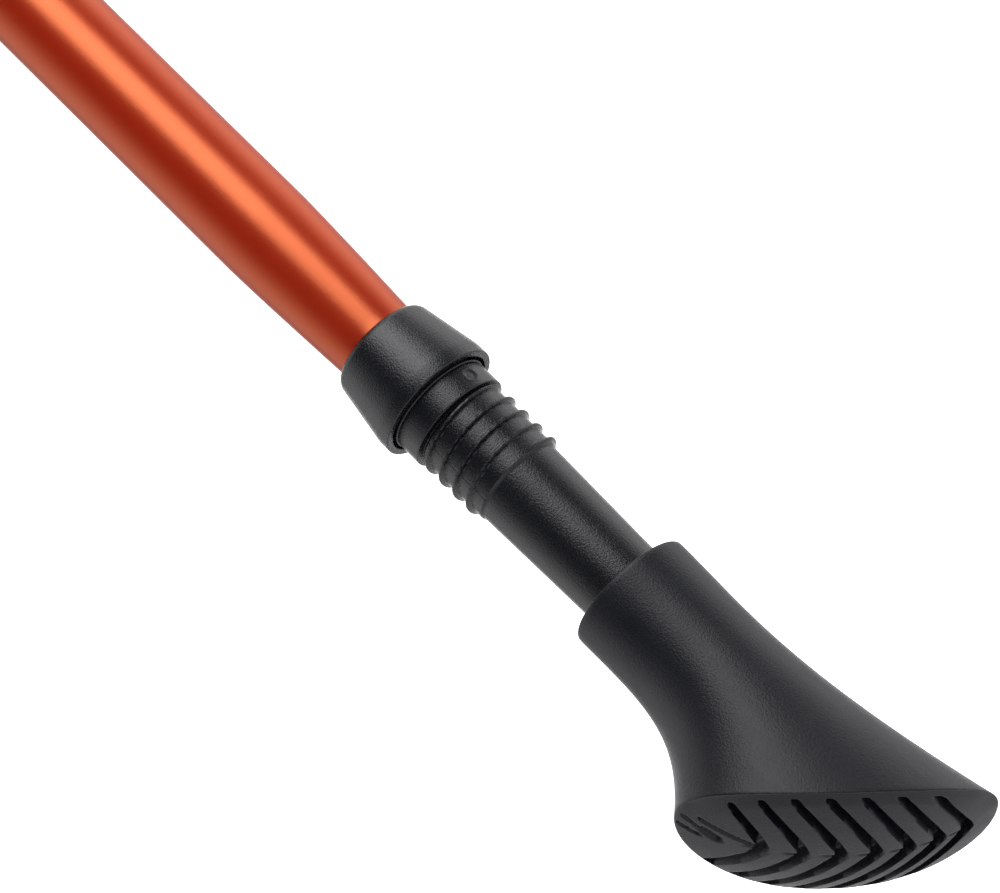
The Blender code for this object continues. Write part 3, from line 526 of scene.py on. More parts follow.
def finish_mesh(name, mesh, material, sharp):
    """Merges doubles, points the faces outward, shades smooth but for sharp edges, and makes the object."""
    work = bmesh.new()
    work.from_mesh(mesh)
    bmesh.ops.remove_doubles(work, verts=work.verts, dist=0.000001)
    bmesh.ops.dissolve_degenerate(work, edges=work.edges, dist=0.0000005)
    bmesh.ops.recalc_face_normals(work, faces=work.faces)
    work.to_mesh(mesh)
    work.free()
    smooth_shade(mesh, sharp)
    mesh.materials.append(material)
    return new_object(name, mesh)


def smooth_shade(mesh, sharp):
    """Shades a mesh smooth, but for edges that turn by more than that many degrees."""
    mesh.shade_smooth()
    mesh.set_sharp_from_angle(angle=math.radians(sharp))


def ring_faces(rows, count, closed):
    """The faces of a skin through rings of points; closed joins the last ring to the first."""
    faces = []
    for k in range(rows if closed else rows - 1):
        for i in range(count):
            j, m = (i + 1) % count, (k + 1) % rows
            faces.append((k * count + i, k * count + j, m * count + j, m * count + i))
    return faces


def skin(name, rings, material, closed=True, sharp=32):
    """A surface through rings of as many points each, closed into a ring or with flat ends."""
    points = np.array(rings, float)
    rows, count = points.shape[:2]
    faces = ring_faces(rows, count, closed)
    if not closed:
        faces += [tuple(range(count)), tuple(range((rows - 1) * count, rows * count))]
    return finish_mesh(name, new_mesh(name, points.reshape(-1, 3), [], faces), material, sharp)


def circle(count):
    """Angles all round, evenly spread."""
    return [TAU * i / count for i in range(count)]


def bend(start, corner, end, steps):
    """Points on a curve from start to end that a corner pulls toward itself."""
    return [(1 - t) ** 2 * start + 2 * t * (1 - t) * corner + t * t * end for t in np.linspace(0, 1, steps)]


def rounded(profile, steps=5):
    """A turned profile of (radius, z, corner) with each corner that has one rounded to that radius."""
    count = len(profile)
    out = []
    for k, (r, z, corner) in enumerate(profile):
        if corner <= 0:
            out.append((r, z))
            continue
        here = np.array((r, z))
        before = np.array(profile[k - 1][:2]) - here
        after = np.array(profile[(k + 1) % count][:2]) - here
        size = min(corner, 0.49 * min(np.linalg.norm(before), np.linalg.norm(after)))
        start = here + before / np.linalg.norm(before) * size
        end = here + after / np.linalg.norm(after) * size
        out += [tuple(point) for point in bend(start, here, end, steps)]
    return out


def turned(name, profile, material, steps):
    """A turned piece from a closed profile of (radius, z)."""
    rings = [[(r * math.cos(a), r * math.sin(a), z) for a in circle(steps)] for r, z in profile]
    return skin(name, rings, material)


def turned_piece(node, body, slot, material, profile, steps=160):
    """A turned piece in a CAD node's place, from a closed profile of (radius, z, corner)."""
    attach(turned(f"{node}_skin", rounded(profile), material, steps), body, slot, node)


def oval(z, centre_y, half_x, half_y, count=128):
    """A level ring round the grip."""
    return [(half_x * math.cos(a), centre_y + half_y * math.sin(a), z) for a in circle(count)]


def block(low, high):
    """A box to cut with."""
    corners = [(low[0], low[1]), (high[0], low[1]), (high[0], high[1]), (low[0], high[1])]
    return skin("block", [[(x, y, z) for x, y in corners] for z in (low[2], high[2])], BLACK, closed=False)


def crossbar(name, profile, material):
    """A round bar across the grip at the strap's pin, from a profile of (radius, x)."""
    rings = [[(x, PIN_Y + r * math.cos(a), PIN_Z + r * math.sin(a)) for a in circle(48)] for r, x in profile]
    return skin(name, rings, material, closed=False)


def bake(obj):
    """Keeps what a piece's modifiers make of it as its plain mesh."""
    bpy.context.view_layer.update()
    graph = bpy.context.evaluated_depsgraph_get()
    mesh = bpy.data.meshes.new_from_object(obj.evaluated_get(graph))
    obj.modifiers.clear()
    obj.data = mesh
    return obj


def combine(obj, other, operation="DIFFERENCE"):
    """Cuts one piece from another, or joins them."""
    run = obj.modifiers.new("combine", "BOOLEAN")
    run.operation = operation
    run.solver = "EXACT"
    run.object = other
    bake(obj)
    bpy.data.objects.remove(other)


def mould(obj):
    """Gives a piece cut from blocks the softly rounded edges of a moulding."""
    remesh = obj.modifiers.new("cells", "REMESH")
    remesh.mode = "VOXEL"
    remesh.voxel_size = 0.4 * MM
    soften = obj.modifiers.new("soften", "SMOOTH")
    soften.factor = 0.5
    soften.iterations = 6
    bake(obj)


def attach(obj, body, slot, *nodes):
    """Lets a finished piece ride a body, in place of CAD nodes; the slot is not used."""
    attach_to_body(obj, body)
    if nodes:
        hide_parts(*nodes)
    return obj


def apply_nodes(obj, tree, sharp=180):
    """Runs a geometry tree on a piece and keeps the plain mesh, shaded smooth."""
    obj.modifiers.new("form", "NODES").node_group = tree
    smooth_shade(bake(obj).data, sharp)
    return obj


def geometry_tree(name, numbers):
    """A geometry tree with a mesh in, a mesh out, and named inputs set to numbers."""
    tree = bpy.data.node_groups.new(name, "GeometryNodeTree")
    tree.interface.new_socket("Geometry", in_out="INPUT", socket_type="NodeSocketGeometry")
    for label, number in numbers.items():
        socket = tree.interface.new_socket(label, in_out="INPUT", socket_type="NodeSocketFloat")
        socket.default_value = number
    tree.interface.new_socket("Geometry", in_out="OUTPUT", socket_type="NodeSocketGeometry")
    entry = tree.nodes.new("NodeGroupInput")
    flows = {socket.name: Flow(tree, socket) for socket in entry.outputs if socket.name}
    return Graph(tree), flows


def end_tree(graph, geometry, material):
    """Ends a geometry tree with real meshes of one material."""
    realized = graph.node("GeometryNodeRealizeInstances", None, {"Geometry": geometry})
    painted = graph.node("GeometryNodeSetMaterial", None, {"Geometry": realized, "Material": material})
    out = graph.tree.nodes.new("NodeGroupOutput")
    feed(graph.tree, out.inputs[0], painted)
    return graph.tree


def push(graph, given, offset, material):
    """Ends a geometry tree that moves the given mesh's points."""
    inputs = {"Geometry": given["Geometry"], "Offset": offset}
    return end_tree(graph, graph.node("GeometryNodeSetPosition", None, inputs), material)


# Tubes and bush

def swage_radius(s):
    """The lower tube's outer radius near its end: straight, then drawn down to the moulding."""
    t = min(max((s + SWAGE_LENGTH) / SWAGE_LENGTH, 0.0), 1.0)
    return TUBE_R - (TUBE_R - SWAGED_R) * t ** SWAGE_POWER


def make_lower_tube():
    low, high = reach("lower_tube")
    drawn = [(swage_radius(s), JUNCTION - s) for s in np.linspace(-SWAGE_LENGTH, 1.5, 40)]
    outer = [(TUBE_R - 0.3, high.z), (TUBE_R, high.z - 0.3)]
    outer += [(TUBE_R, z) for z in np.linspace(high.z - 1, JUNCTION + SWAGE_LENGTH + 1, 12)] + drawn
    outer += [(SWAGED_R, low.z)]
    inner = [(SWAGED_R - TUBE_WALL, low.z), (SWAGED_R - TUBE_WALL, JUNCTION)]
    inner += [(TUBE_R - TUBE_WALL, JUNCTION + SWAGE_LENGTH), (TUBE_R - TUBE_WALL, high.z)]
    profile = [(r, z, 0) for r, z in outer + inner]
    turned_piece("lower_tube", "lower_pole", "orange_tube", ORANGE, profile)


def make_upper_tube():
    low, high = reach("upper_tube")
    bore = UPPER_R - UPPER_WALL
    profile = [(UPPER_R, high.z, 0.2), (UPPER_R, low.z, 0.2), (bore, low.z, 0.1), (bore, high.z, 0.1)]
    turned_piece("upper_tube", "root", "orange_tube", ORANGE, profile)


def make_tube_bush():
    low, high = reach("tube_bush")
    shelf, lip, groove = low.z + BUSH_LIP, TUBE_R + SEAT_GAP, BUSH_R - BUSH_GROOVE_DEPTH
    profile = [
        (UPPER_BORE, high.z, 0.1), (BUSH_R - 0.45, high.z, 0.5), (BUSH_R, high.z - 2.2, 1.5),
        (BUSH_R, high.z - 9.0, 0.3), (groove, high.z - 9.4, 0.3), (groove, high.z - 10.6, 0.3),
        (BUSH_R, high.z - 11.0, 0.3), (BUSH_R, low.z + 1.6, 1.2), (BUSH_R - 1.5, low.z, 0.6),
        (lip, low.z, 0.3), (lip, shelf, 0.1), (UPPER_BORE, shelf, 0.1),
    ]
    turned_piece("tube_bush", "root", "black_moulding", BLACK, profile)


# Tip moulding

def shaft_radius(s):
    return SHAFT_R - SHAFT_TAPER * (s - SHAFT_TOP)


def collar_shoulder(start, top):
    """The collar's rounded top, from the socket's mouth onto the flare."""
    slope = (COLLAR_R - COLLAR_TOP_R) / (COLLAR_CONE_END - COLLAR_START)
    end = (COLLAR_TOP_R + slope * COLLAR_ROUND, COLLAR_START + COLLAR_ROUND)
    corners = [np.array(p) for p in ((start, top), (COLLAR_TOP_R, top), end)]
    return [(*point, 0) for point in bend(*corners, 10)]


def moulding_profile():
    """The moulding's outline, from the floor of the tube's socket over the collar to the shaft's end."""
    mouth = SWAGED_R + PRESS_GAP
    top, rim = COLLAR_START + SHOULDER_DROP, COLLAR_LENGTH
    recess = rim - RECESS_DEPTH
    floor = JUNCTION - reach("lower_tube")[0].z + SEAT_GAP
    bore, holder_end = HOLDER_R + PRESS_GAP, SHAFT_END - HOLDER_DEPTH - SEAT_GAP
    corners = [
        (0.0, floor, 0), (mouth, floor, 0), (mouth, top + 0.4, 0), *collar_shoulder(mouth + 0.16, top),
        (COLLAR_R, COLLAR_CONE_END, 0.5), (COLLAR_R, rim, 0.22), (RECESS_R, rim, 0.12),
        (RECESS_R - 0.1, recess, 0.2), (STEP_R, recess, 0.1), (STEP_R, STEP_S, 0.04),
        (NECK_R, STEP_S + 0.12, 0.04),
    ]
    rows = rounded(corners, 6)
    rows += [(NECK_R, s) for s in np.linspace(STEP_S + 0.4, NECK_END - 0.4, 22)]
    thread_edge = [
        (NECK_R, NECK_END, 0.3), (VALLEY_R - 0.25, NECK_END + 0.08, 0.1),
        (VALLEY_R - 0.2, NECK_END + 0.35, 0.1), (VALLEY_R, NECK_END + 0.5, 0.1),
    ]
    rows += rounded([(NECK_R, NECK_END - 0.35, 0)] + thread_edge + [(VALLEY_R, NECK_END + 0.55, 0)], 6)
    rows += [(VALLEY_R, s) for s in np.linspace(NECK_END + 0.6, SHAFT_TOP - 0.5, 124)]
    lower = [
        (VALLEY_R, SHAFT_TOP - 0.4, 0.2), (SHAFT_R, SHAFT_TOP, 0.3), (shaft_radius(39), 39, 0),
        (shaft_radius(SHAFT_END), SHAFT_END, 0.8), (bore, SHAFT_END, 0), (bore, holder_end, 0),
        (0.0, holder_end, 0),
    ]
    rows += rounded([(VALLEY_R, SHAFT_TOP - 0.45, 0)] + lower, 6)
    return [(max(r, 0.0), JUNCTION - s) for r, s in rows]


def thread_tree():
    """Raises the basket thread, a ridge along a right-hand helix, and sinks the ejector's mark."""
    graph, given = geometry_tree("basket_thread", {
        "Junction": JUNCTION * MM, "Start": THREAD_START * MM, "Pitch": THREAD_PITCH * MM,
        "Turns": THREAD_TURNS, "Phase": THREAD_PHASE, "Crest": THREAD_CREST * MM,
        "Neck end": NECK_END * MM, "Valley": VALLEY_R * MM,
    })
    place = graph.node("GeometryNodeInputPosition")
    x, y, z = graph.split(place)
    s = given["Junction"] - z
    angle = (graph.turn(x, y) - given["Phase"]) / TAU
    along = (s - given["Start"]) / given["Pitch"] + angle
    turn = graph.math("ROUND", along)
    ridge = graph.step(abs(along - turn), 0.17, 0.04)
    travelled = turn - angle
    fade_in = graph.step(s, given["Neck end"] + 0.12 * MM, given["Neck end"] + 0.5 * MM)
    fade_out = graph.step(travelled, given["Turns"] + 0.06, given["Turns"] - 0.1)
    radius = (x * x + y * y) ** 0.5
    on_thread = graph.step(abs(radius - given["Valley"]), 0.04 * MM, 0.02 * MM)
    on_thread = on_thread * graph.step(s, given["Neck end"] + 13 * MM, given["Neck end"] + 12 * MM)
    thread = given["Crest"] * ridge * fade_in * fade_out * on_thread
    centre = tuple(c * MM for c in EJECTOR_MARK)
    from_mark = graph.vector("DISTANCE", place, centre, "Value") / MM
    mark = 0.05 * graph.step(abs(from_mark - 1.0), 0.25, 0.05) - 0.16 * graph.step(from_mark, 0.98, 0.72)
    lift = (thread + mark * MM) / radius
    return push(graph, given, graph.join(x * lift, y * lift, 0.0), BLACK)


def make_tip_moulding():
    obj = apply_nodes(turned("tip_moulding", moulding_profile(), BLACK, 200), thread_tree(), 40)
    attach(obj, "lower_pole", "black_moulding", "tip_body")


def make_tip_point():
    """The hardened tip inside the foot: its steel holder, the carbide point and the foot's washer."""
    low, high = reach("tip_holder")
    end, top = reach("carbide_tip")
    point_r = top.x
    flange = JUNCTION - SHAFT_END - SEAT_GAP
    bore, floor = point_r + PRESS_GAP, top.z + SEAT_GAP
    holder = [
        (0.0, high.z, 0), (HOLDER_R, high.z, 0.5), (HOLDER_R, flange, 0), (high.x, flange, 0.2),
        (high.x, flange - 1.5, 0.5), (bore + 1.0, low.z, 0.3), (bore, low.z, 0.1), (bore, floor, 0),
        (0.0, floor, 0),
    ]
    turned_piece("tip_holder", "lower_pole", "steel", STEEL, holder, 96)
    point = [
        (0.0, top.z, 0), (point_r, top.z, 0.3), (point_r, end.z + 0.5, 0.3), (point_r - 0.5, end.z, 0.15),
        (point_r - 1.2, end.z + 0.5, 0.2), (0.0, end.z + 0.6, 0),
    ]
    turned_piece("carbide_tip", "lower_pole", "carbide", CARBIDE, point, 72)
    low, high = reach("foot_washer")
    washer = [(0.0, high.z, 0), (high.x, high.z, 0.3), (high.x, low.z, 0.3), (0.0, low.z, 0)]
    turned_piece("foot_washer", "foot_seat", "steel", STEEL, washer, 96)


# Rubber foot

TOE_END, HEEL_END = np.array(TOE_LINE[3]), np.array(HEEL_LINE[3])
CHORD_LENGTH = float(np.linalg.norm(TOE_END - HEEL_END))
HALF_CHORD = CHORD_LENGTH / 2
CHORD_UNIT = (TOE_END - HEEL_END) / CHORD_LENGTH
SOLE_NORMAL = np.array([-CHORD_UNIT[1], CHORD_UNIT[0]])
SOLE_MIDDLE = (TOE_END + HEEL_END) / 2


def bezier(points, t):
    """A point of the cubic curve that four points give."""
    p = [np.array(q, float) for q in points]
    return (1 - t) ** 3 * p[0] + 3 * (1 - t) ** 2 * t * p[1] + 3 * (1 - t) * t * t * p[2] + t ** 3 * p[3]


def foot_point(across, lateral, down):
    """From the foot's own directions, toward the toe, sideways and down from the rim, to the pole's."""
    return np.array((lateral, -across, JUNCTION - RIM_S - down))


def full_circle(turn, share):
    """A unit circle's point, filled out toward its corners by that share of the sole's fullness."""
    power = 2 / (2 + (SOLE_FULLNESS - 2) * share)
    c, s = math.cos(turn), math.sin(turn)
    return math.copysign(abs(c) ** power, c), math.copysign(abs(s) ** power, s)


def foot_section(t, turns):
    """One slanted section of the foot's wall, level at the rim and along the sole at t = 1."""
    heel, toe = bezier(HEEL_LINE, t), bezier(TOE_LINE, t)
    middle, half = (heel + toe) / 2, (toe - heel) / 2
    normal = np.array([-half[1], half[0]]) / np.linalg.norm(half)
    width = RIM_R + (SOLE_HALF_WIDTH - RIM_R) * t ** FLARE_POWER
    ring = []
    for turn in turns:
        c, s = full_circle(turn, t * t)
        at = middle + half * c + normal * SOLE_ROCKER * t * t * s * s
        ring.append(foot_point(at[0], width * s, at[1]))
    return ring


def sole_edge(along):
    """The sole's half width at a place along its chord, as a share of the greatest."""
    return (1 - min(abs(along) / HALF_CHORD, 1.0) ** SOLE_FULLNESS) ** (1 / SOLE_FULLNESS)


def sole_point(along, lateral):
    """A point of the convex sole, from its middle along the chord and sideways."""
    edge = sole_edge(along)
    half = SOLE_HALF_WIDTH * edge
    share = min(abs(lateral) / half, 1.0) if half > 1e-6 else 0.0
    bulge = (SOLE_ROCKER + SOLE_CROWN * (1 - share * share)) * edge * edge
    at = SOLE_MIDDLE + CHORD_UNIT * along + SOLE_NORMAL * bulge
    return foot_point(at[0], lateral, at[1])


def along_sole(point):
    """How far a point lies along the sole's chord, toward the toe."""
    return float((np.array([-point[1], JUNCTION - RIM_S - point[2]]) - SOLE_MIDDLE) @ CHORD_UNIT)


def groove_form(k):
    """The k-th chevron's tip, toward the toe along the chord, and how much its arms bow."""
    tip = GROOVE_FIRST + GROOVE_PITCH * k - GROOVE_CLOSING * k * k
    return tip, (ARM_END - ARM_STEP * k - ARM_START) / SOLE_HALF_WIDTH


def column_places(lateral):
    """Places along the chord for one column of the sole, toe first, close together at the grooves' walls."""
    aside = lateral - TIP_ASIDE
    spread = math.sqrt(aside ** 2 + TIP_ROUND ** 2) - TIP_ROUND
    wall = (1.3, 1.12, 0.96, 0.8, 0.64, 0.5, 0.36, 0.18)
    offsets = [*wall, 0.0, *[-w for w in reversed(wall)]]
    places = []
    for k in reversed(range(GROOVES)):
        tip, bow = groove_form(k)
        middle = tip - ARM_START * spread - bow * aside ** 2
        start = middle + wall[0]
        if places:
            places += list(np.linspace(places[-1], start, 10)[1:-1])
        else:
            places += [start + TOE_GRID * i for i in range(24, 0, -1)]
        places += [middle + offset for offset in offsets]
    return places + [places[-1] - HEEL_GRID * i for i in range(1, 34)]


def rim_slant(point):
    """Moves a point near the rim, which isn't quite square to the pole: it dips toward the toe."""
    near = max(0.0, 1 - abs(JUNCTION - RIM_S - point[2]) / RIM_SLANT_REACH)
    return np.array((point[0], point[1], point[2] - (RIM_SLANT * -point[1] - RIM_LIFT) * near))


def foot_rings(turns):
    """The foot's skin above its sole: up the bore, over the lip and down the wall to the sole's edge."""
    washer = reach("foot_washer")[1]
    shelf, room = JUNCTION - washer.z - SEAT_GAP, washer.x + SEAT_GAP
    end, lip = SHAFT_END + SEAT_GAP, MOUTH_R - 0.1
    wall = [
        (shelf + 1.8, room), (end, room), (end, shaft_radius(SHAFT_END) + SEAT_GAP),
        (RIM_S + 2.2, shaft_radius(RIM_S) + SEAT_GAP), (RIM_S + 0.8, lip), (RIM_S + 0.3, lip + 0.12),
        (RIM_S + 0.08, lip + 0.3), (RIM_S, lip + 0.6), (RIM_S, RIM_R - 0.4),
        (RIM_S + 0.05, RIM_R - 0.15), (RIM_S + 0.2, RIM_R - 0.03),
    ]
    rings = [[foot_point(r * math.cos(a), r * math.sin(a), s - RIM_S) for a in turns] for s, r in wall]
    rings += [foot_section(t, turns) for t in np.linspace(0.014, 1.0, 60) ** 0.92]
    return [[rim_slant(point) for point in ring] for ring in rings]


def rounded_edge(rings, turns):
    """Rings that turn from the wall round the sole's edge onto the sole."""
    edge, above = np.array(rings[-1]), np.array(rings[-2])
    inner = []
    for turn in turns:
        c, s = full_circle(turn, 1.0)
        pull = 1 - SOLE_EDGE_ROUND / math.hypot(HALF_CHORD * c, SOLE_HALF_WIDTH * s)
        inner.append(sole_point(HALF_CHORD * c * pull, SOLE_HALF_WIDTH * s * pull))
    start = edge + (above - edge) / np.linalg.norm(above - edge, axis=1)[:, None] * SOLE_EDGE_ROUND
    return bend(start, edge, np.array(inner), EDGE_STEPS)


def make_foot():
    """The foot in one skin: bore, rim and wall in rings, then the sole in columns across the grooves.

    Its sole attribute rises from 0 on the wall to 1 on the sole, where the tread is pressed in.
    """
    count = FOOT_COUNT
    turns = circle(count)
    rings = foot_rings(turns)
    edge_rings = rounded_edge(rings, turns)
    rings = rings[:-1] + edge_rings
    points = [tuple(p) for ring in rings for p in ring]
    flat = [0.0] * (len(rings) - EDGE_STEPS) * count
    for t in np.linspace(0, 1, EDGE_STEPS):
        flat += [float(t)] * count
    faces = ring_faces(len(rings), count, False)
    faces.append(tuple(range(count)))
    first, inner = (len(rings) - 1) * count, edge_rings[-1]
    quarter = count // 4
    columns = []
    for i in range(-quarter, quarter + 1):
        toe, heel = i % count, count // 2 - i
        places = column_places(inner[toe][0])
        if i in (-quarter, quarter):
            columns.append([first + toe] * (len(places) + 2))
            continue
        high, low = along_sole(inner[toe]), along_sole(inner[heel])
        column = [first + toe]
        for along in places:
            if along >= high - 0.05:
                column.append(first + toe)
            elif along <= low + 0.05:
                column.append(first + heel)
            else:
                column.append(len(points))
                points.append(tuple(sole_point(along, inner[toe][0])))
        columns.append(column + [first + heel])
    for left, right in zip(columns, columns[1:]):
        for k in range(len(left) - 1):
            corners = list(dict.fromkeys((left[k], left[k + 1], right[k + 1], right[k])))
            if len(corners) > 2:
                faces.append(tuple(corners))
    mesh = new_mesh("foot_rubber", points, [], faces)
    sole = mesh.attributes.new("sole", "FLOAT", "POINT")
    sole.data.foreach_set("value", flat + [1.0] * (len(points) - len(flat)))
    obj = apply_nodes(finish_mesh("foot_rubber", mesh, RUBBER, 40), tread_tree(), 60)
    attach(obj, "foot", "black_rubber", "rubber_foot")


def tread_tree():
    """Presses the chevron grooves into the sole, the crevices at their tips and the nicks of the heel."""
    graph, given = geometry_tree("chevron_tread", {"Depth": GROOVE_DEPTH, "Rim": RIM_S})
    x, y, z = graph.split(graph.node("GeometryNodeInputPosition"))
    near, across = x / -MM, y / -MM
    down = JUNCTION - given["Rim"] - z / MM
    along = (across - SOLE_MIDDLE[0]) * CHORD_UNIT[0] + (down - SOLE_MIDDLE[1]) * CHORD_UNIT[1]
    settings = {"data_type": "FLOAT"}
    sole = graph.node("GeometryNodeInputNamedAttribute", settings, {"Name": "sole"}, "Attribute")
    power = SOLE_FULLNESS
    ring = (abs(along / HALF_CHORD) ** power + abs(near / SOLE_HALF_WIDTH) ** power) ** (1 / power)
    edge = (1 - ring) * SOLE_HALF_WIDTH
    aside = near - TIP_ASIDE
    spread = (aside * aside + TIP_ROUND ** 2) ** 0.5 - TIP_ROUND
    nearest, ahead = None, None
    for k in range(GROOVES):
        tip, bow = groove_form(k)
        off = along - (tip - ARM_START * spread - bow * aside * aside)
        behind = abs(off) + 100 * graph.step(off, -0.1, 0.1)
        nearest = abs(off) if nearest is None else graph.least(nearest, abs(off))
        ahead = behind if ahead is None else graph.least(ahead, behind)
    near_side = graph.step(aside, -1.0, 1.0)
    border = graph.step(edge, 0.2 + 0.95 * near_side, 0.5 + 1.5 * near_side)
    near_border = graph.step(edge, 1.0, 3.6)
    half = 0.66 + 0.5 * graph.most(0.4 * near_border, 1 - near_side)
    groove = graph.step(nearest, half, half - 0.42) * border
    crevice = graph.step(abs(aside + 0.1), 0.2, 0.04) * graph.step(ahead, 3.0, 1.8)
    crevice = crevice * graph.step(ahead, 0.6, 1.0)
    dip = given["Depth"] * groove + 0.3 * crevice * graph.step(edge, 1.0, 2.0)
    dip = dip + 0.35 * graph.step(edge, 2.6, 0.0) * graph.step(near, 2.0, 6.0)
    place = graph.join(along, near, 0.0)
    for start, end, width, depth in NICKS:
        nick = graph.step(graph.from_segment(place, start, end), width + 0.12, width * 0.5)
        dip = graph.most(dip, depth * nick)
    dip = dip * graph.step(sole, 0.35, 0.95) * -MM
    normal = foot_point(SOLE_NORMAL[0], 0.0, SOLE_NORMAL[1]) - foot_point(0.0, 0.0, 0.0)
    return push(graph, given, graph.join(*[dip * float(c) for c in normal]), RUBBER)


# Grip

def stations(shape, low, high):
    """The stations' real heights, offsets toward the front and half sizes."""
    return [(low + (high - low) * t, cy, CORE_R + ax, CORE_R + ay) for t, cy, ax, ay in shape]


def between(rows, count):
    """Rows read from a smooth curve through the stations, evenly along the height."""
    table = np.array(rows, float)
    slopes = np.gradient(table, table[:, 0], axis=0)
    curve = []
    for z in np.linspace(table[0, 0], table[-1, 0], count):
        k = min(max(int(np.searchsorted(table[:, 0], z)) - 1, 0), len(table) - 2)
        step = table[k + 1, 0] - table[k, 0]
        t = (z - table[k, 0]) / step
        row = (2 * t ** 3 - 3 * t ** 2 + 1) * table[k] + (3 * t ** 2 - 2 * t ** 3) * table[k + 1]
        row += ((t ** 3 - 2 * t ** 2 + t) * slopes[k] + (t ** 3 - t ** 2) * slopes[k + 1]) * step
        curve.append((z, *row[1:]))
    return curve


def sleeve(name, rows, bore, material):
    """An oval sleeve through the rows, its ends a little rounded, with a round bore from end to end."""
    low, high = rows[0], rows[-1]
    ends = [(0.0, 0.5), (0.15, 0.15), (0.5, 0.0)]
    outer = [(low[0] + up, low[1], low[2] - inward, low[3] - inward) for up, inward in ends]
    outer += rows[1:-1]
    outer += [(high[0] - up, high[1], high[2] - inward, high[3] - inward) for up, inward in reversed(ends)]
    rings = [oval(*row) for row in outer] + [oval(z, 0.0, bore, bore) for z in (high[0], low[0])]
    return skin(name, rings, material, sharp=40)


def make_grip_cork():
    """The cork sleeve, and the black core that it sits on."""
    rows = between(stations(CORK_STATIONS, CORK_LOW, CORK_HIGH), 96)
    attach(sleeve("grip_cork_skin", rows, CORE_R + PRESS_GAP, CORK), "root", "cork", "grip_cork")
    core = [(CORE_R, CORK_HIGH, 0), (CORE_R, CORK_LOW, 0)]
    core += [(UPPER_BORE, CORK_LOW, 0), (UPPER_BORE, CORK_HIGH, 0)]
    turned_piece("grip_core", "root", "black_moulding", BLACK, core, 128)


def make_grip_end_ring():
    """The black ring below the cork, with three shallow grooves round it."""
    low, high = reach("grip_end_ring")
    wide, deep = (CORE_R + beyond for beyond in CORK_STATIONS[0][2:])
    thin = UPPER_BORE + 1.5
    table = [
        (low.z, 0.0, thin, thin), (low.z + 1.6, 0.0, thin + 0.9, thin + 1.1),
        (low.z + 4.8, 0.0, (thin + wide) / 2 + 1.1, (thin + deep) / 2 + 1.3),
        (high.z - 0.8, 0.0, wide + 0.5, deep + 0.5), (high.z, 0.0, wide + 0.1, deep + 0.1),
    ]
    rows = []
    for z, cy, half_x, half_y in between(table, 81):
        from_grooves = [(z - high.z + drop) / RING_GROOVE for drop in (2.0, 3.7, 5.4)]
        dip = sum(RING_GROOVE * math.exp(-(share ** 2)) for share in from_grooves)
        rows.append((z, cy, half_x - dip, half_y - dip))
    ring = sleeve("grip_end_ring_skin", rows, UPPER_BORE, BLACK)
    attach(ring, "root", "black_moulding", "grip_end_ring")


def rib_tree():
    """Presses thumb ribs into the front of the grip's head."""
    graph, given = geometry_tree("thumb_ribs", {
        "Pitch": RIB_PITCH * MM, "Depth": RIB_DEPTH * MM,
        "Low": (HEAD_LOW + 3.0) * MM, "High": (HEAD_HIGH - 2.5) * MM,
    })
    z = graph.split(graph.node("GeometryNodeInputPosition"))[2]
    normal = graph.node("GeometryNodeInputNormal")
    stripe = graph.math("FRACT", z / given["Pitch"])
    groove = graph.step(abs(stripe - 0.5), 0.32, 0.14)
    zone = graph.step(z, given["Low"], given["Low"] + MM) * graph.step(z, given["High"], given["High"] - MM)
    front = graph.step(graph.along(normal, (0.0, 1.0, 0.0)), 0.45, 0.75)
    dip = given["Depth"] * groove * zone * front * -1.0
    return push(graph, given, graph.scaled(normal, dip), BLACK)


def make_grip_head():
    """The head on top of the cork, its lug cut open for the strap's loop and bored for the pin."""
    rows = between(stations(HEAD_STATIONS, HEAD_LOW, HEAD_HIGH), 30)
    head = skin("grip_head_skin", [oval(*row, 96) for row in rows], BLACK, closed=False)
    outline = [(-CORE_R, PIN_Z - LUG_HALF_HEIGHT), (-CORE_R, PIN_Z + LUG_HALF_HEIGHT)]
    for a in np.radians(range(75, -76, -15)):
        outline.append((PIN_Y - LUG_BEHIND_PIN * math.cos(a), PIN_Z + LUG_BEHIND_PIN * math.sin(a)))
    sides = [[(x, y, z) for y, z in outline] for x in (-LUG_HALF_WIDTH, LUG_HALF_WIDTH)]
    combine(head, skin("strap_lug", sides, BLACK, closed=False), "UNION")
    notch_low = (-NOTCH_HALF_WIDTH, PIN_Y - LUG_BEHIND_PIN - 3, HEAD_LOW - 6)
    combine(head, block(notch_low, (NOTCH_HALF_WIDTH, PIN_Y + LOOP_R + NOTCH_GAP, HEAD_HIGH + 4)))
    hole, side = PIN_R + PRESS_GAP, LUG_HALF_WIDTH + 2
    combine(head, crossbar("pin_hole", [(hole, -side), (hole, side)], BLACK))
    low, high = HEAD_LOW - 5, TUBE_TOP + SEAT_GAP
    socket = [(0.0, low), (UPPER_BORE, low), (UPPER_BORE, high), (0.0, high)]
    combine(head, turned("tube_socket", socket, BLACK, 64))
    mould(head)
    attach(apply_nodes(head, rib_tree()), "root", "black_moulding", "grip_head")


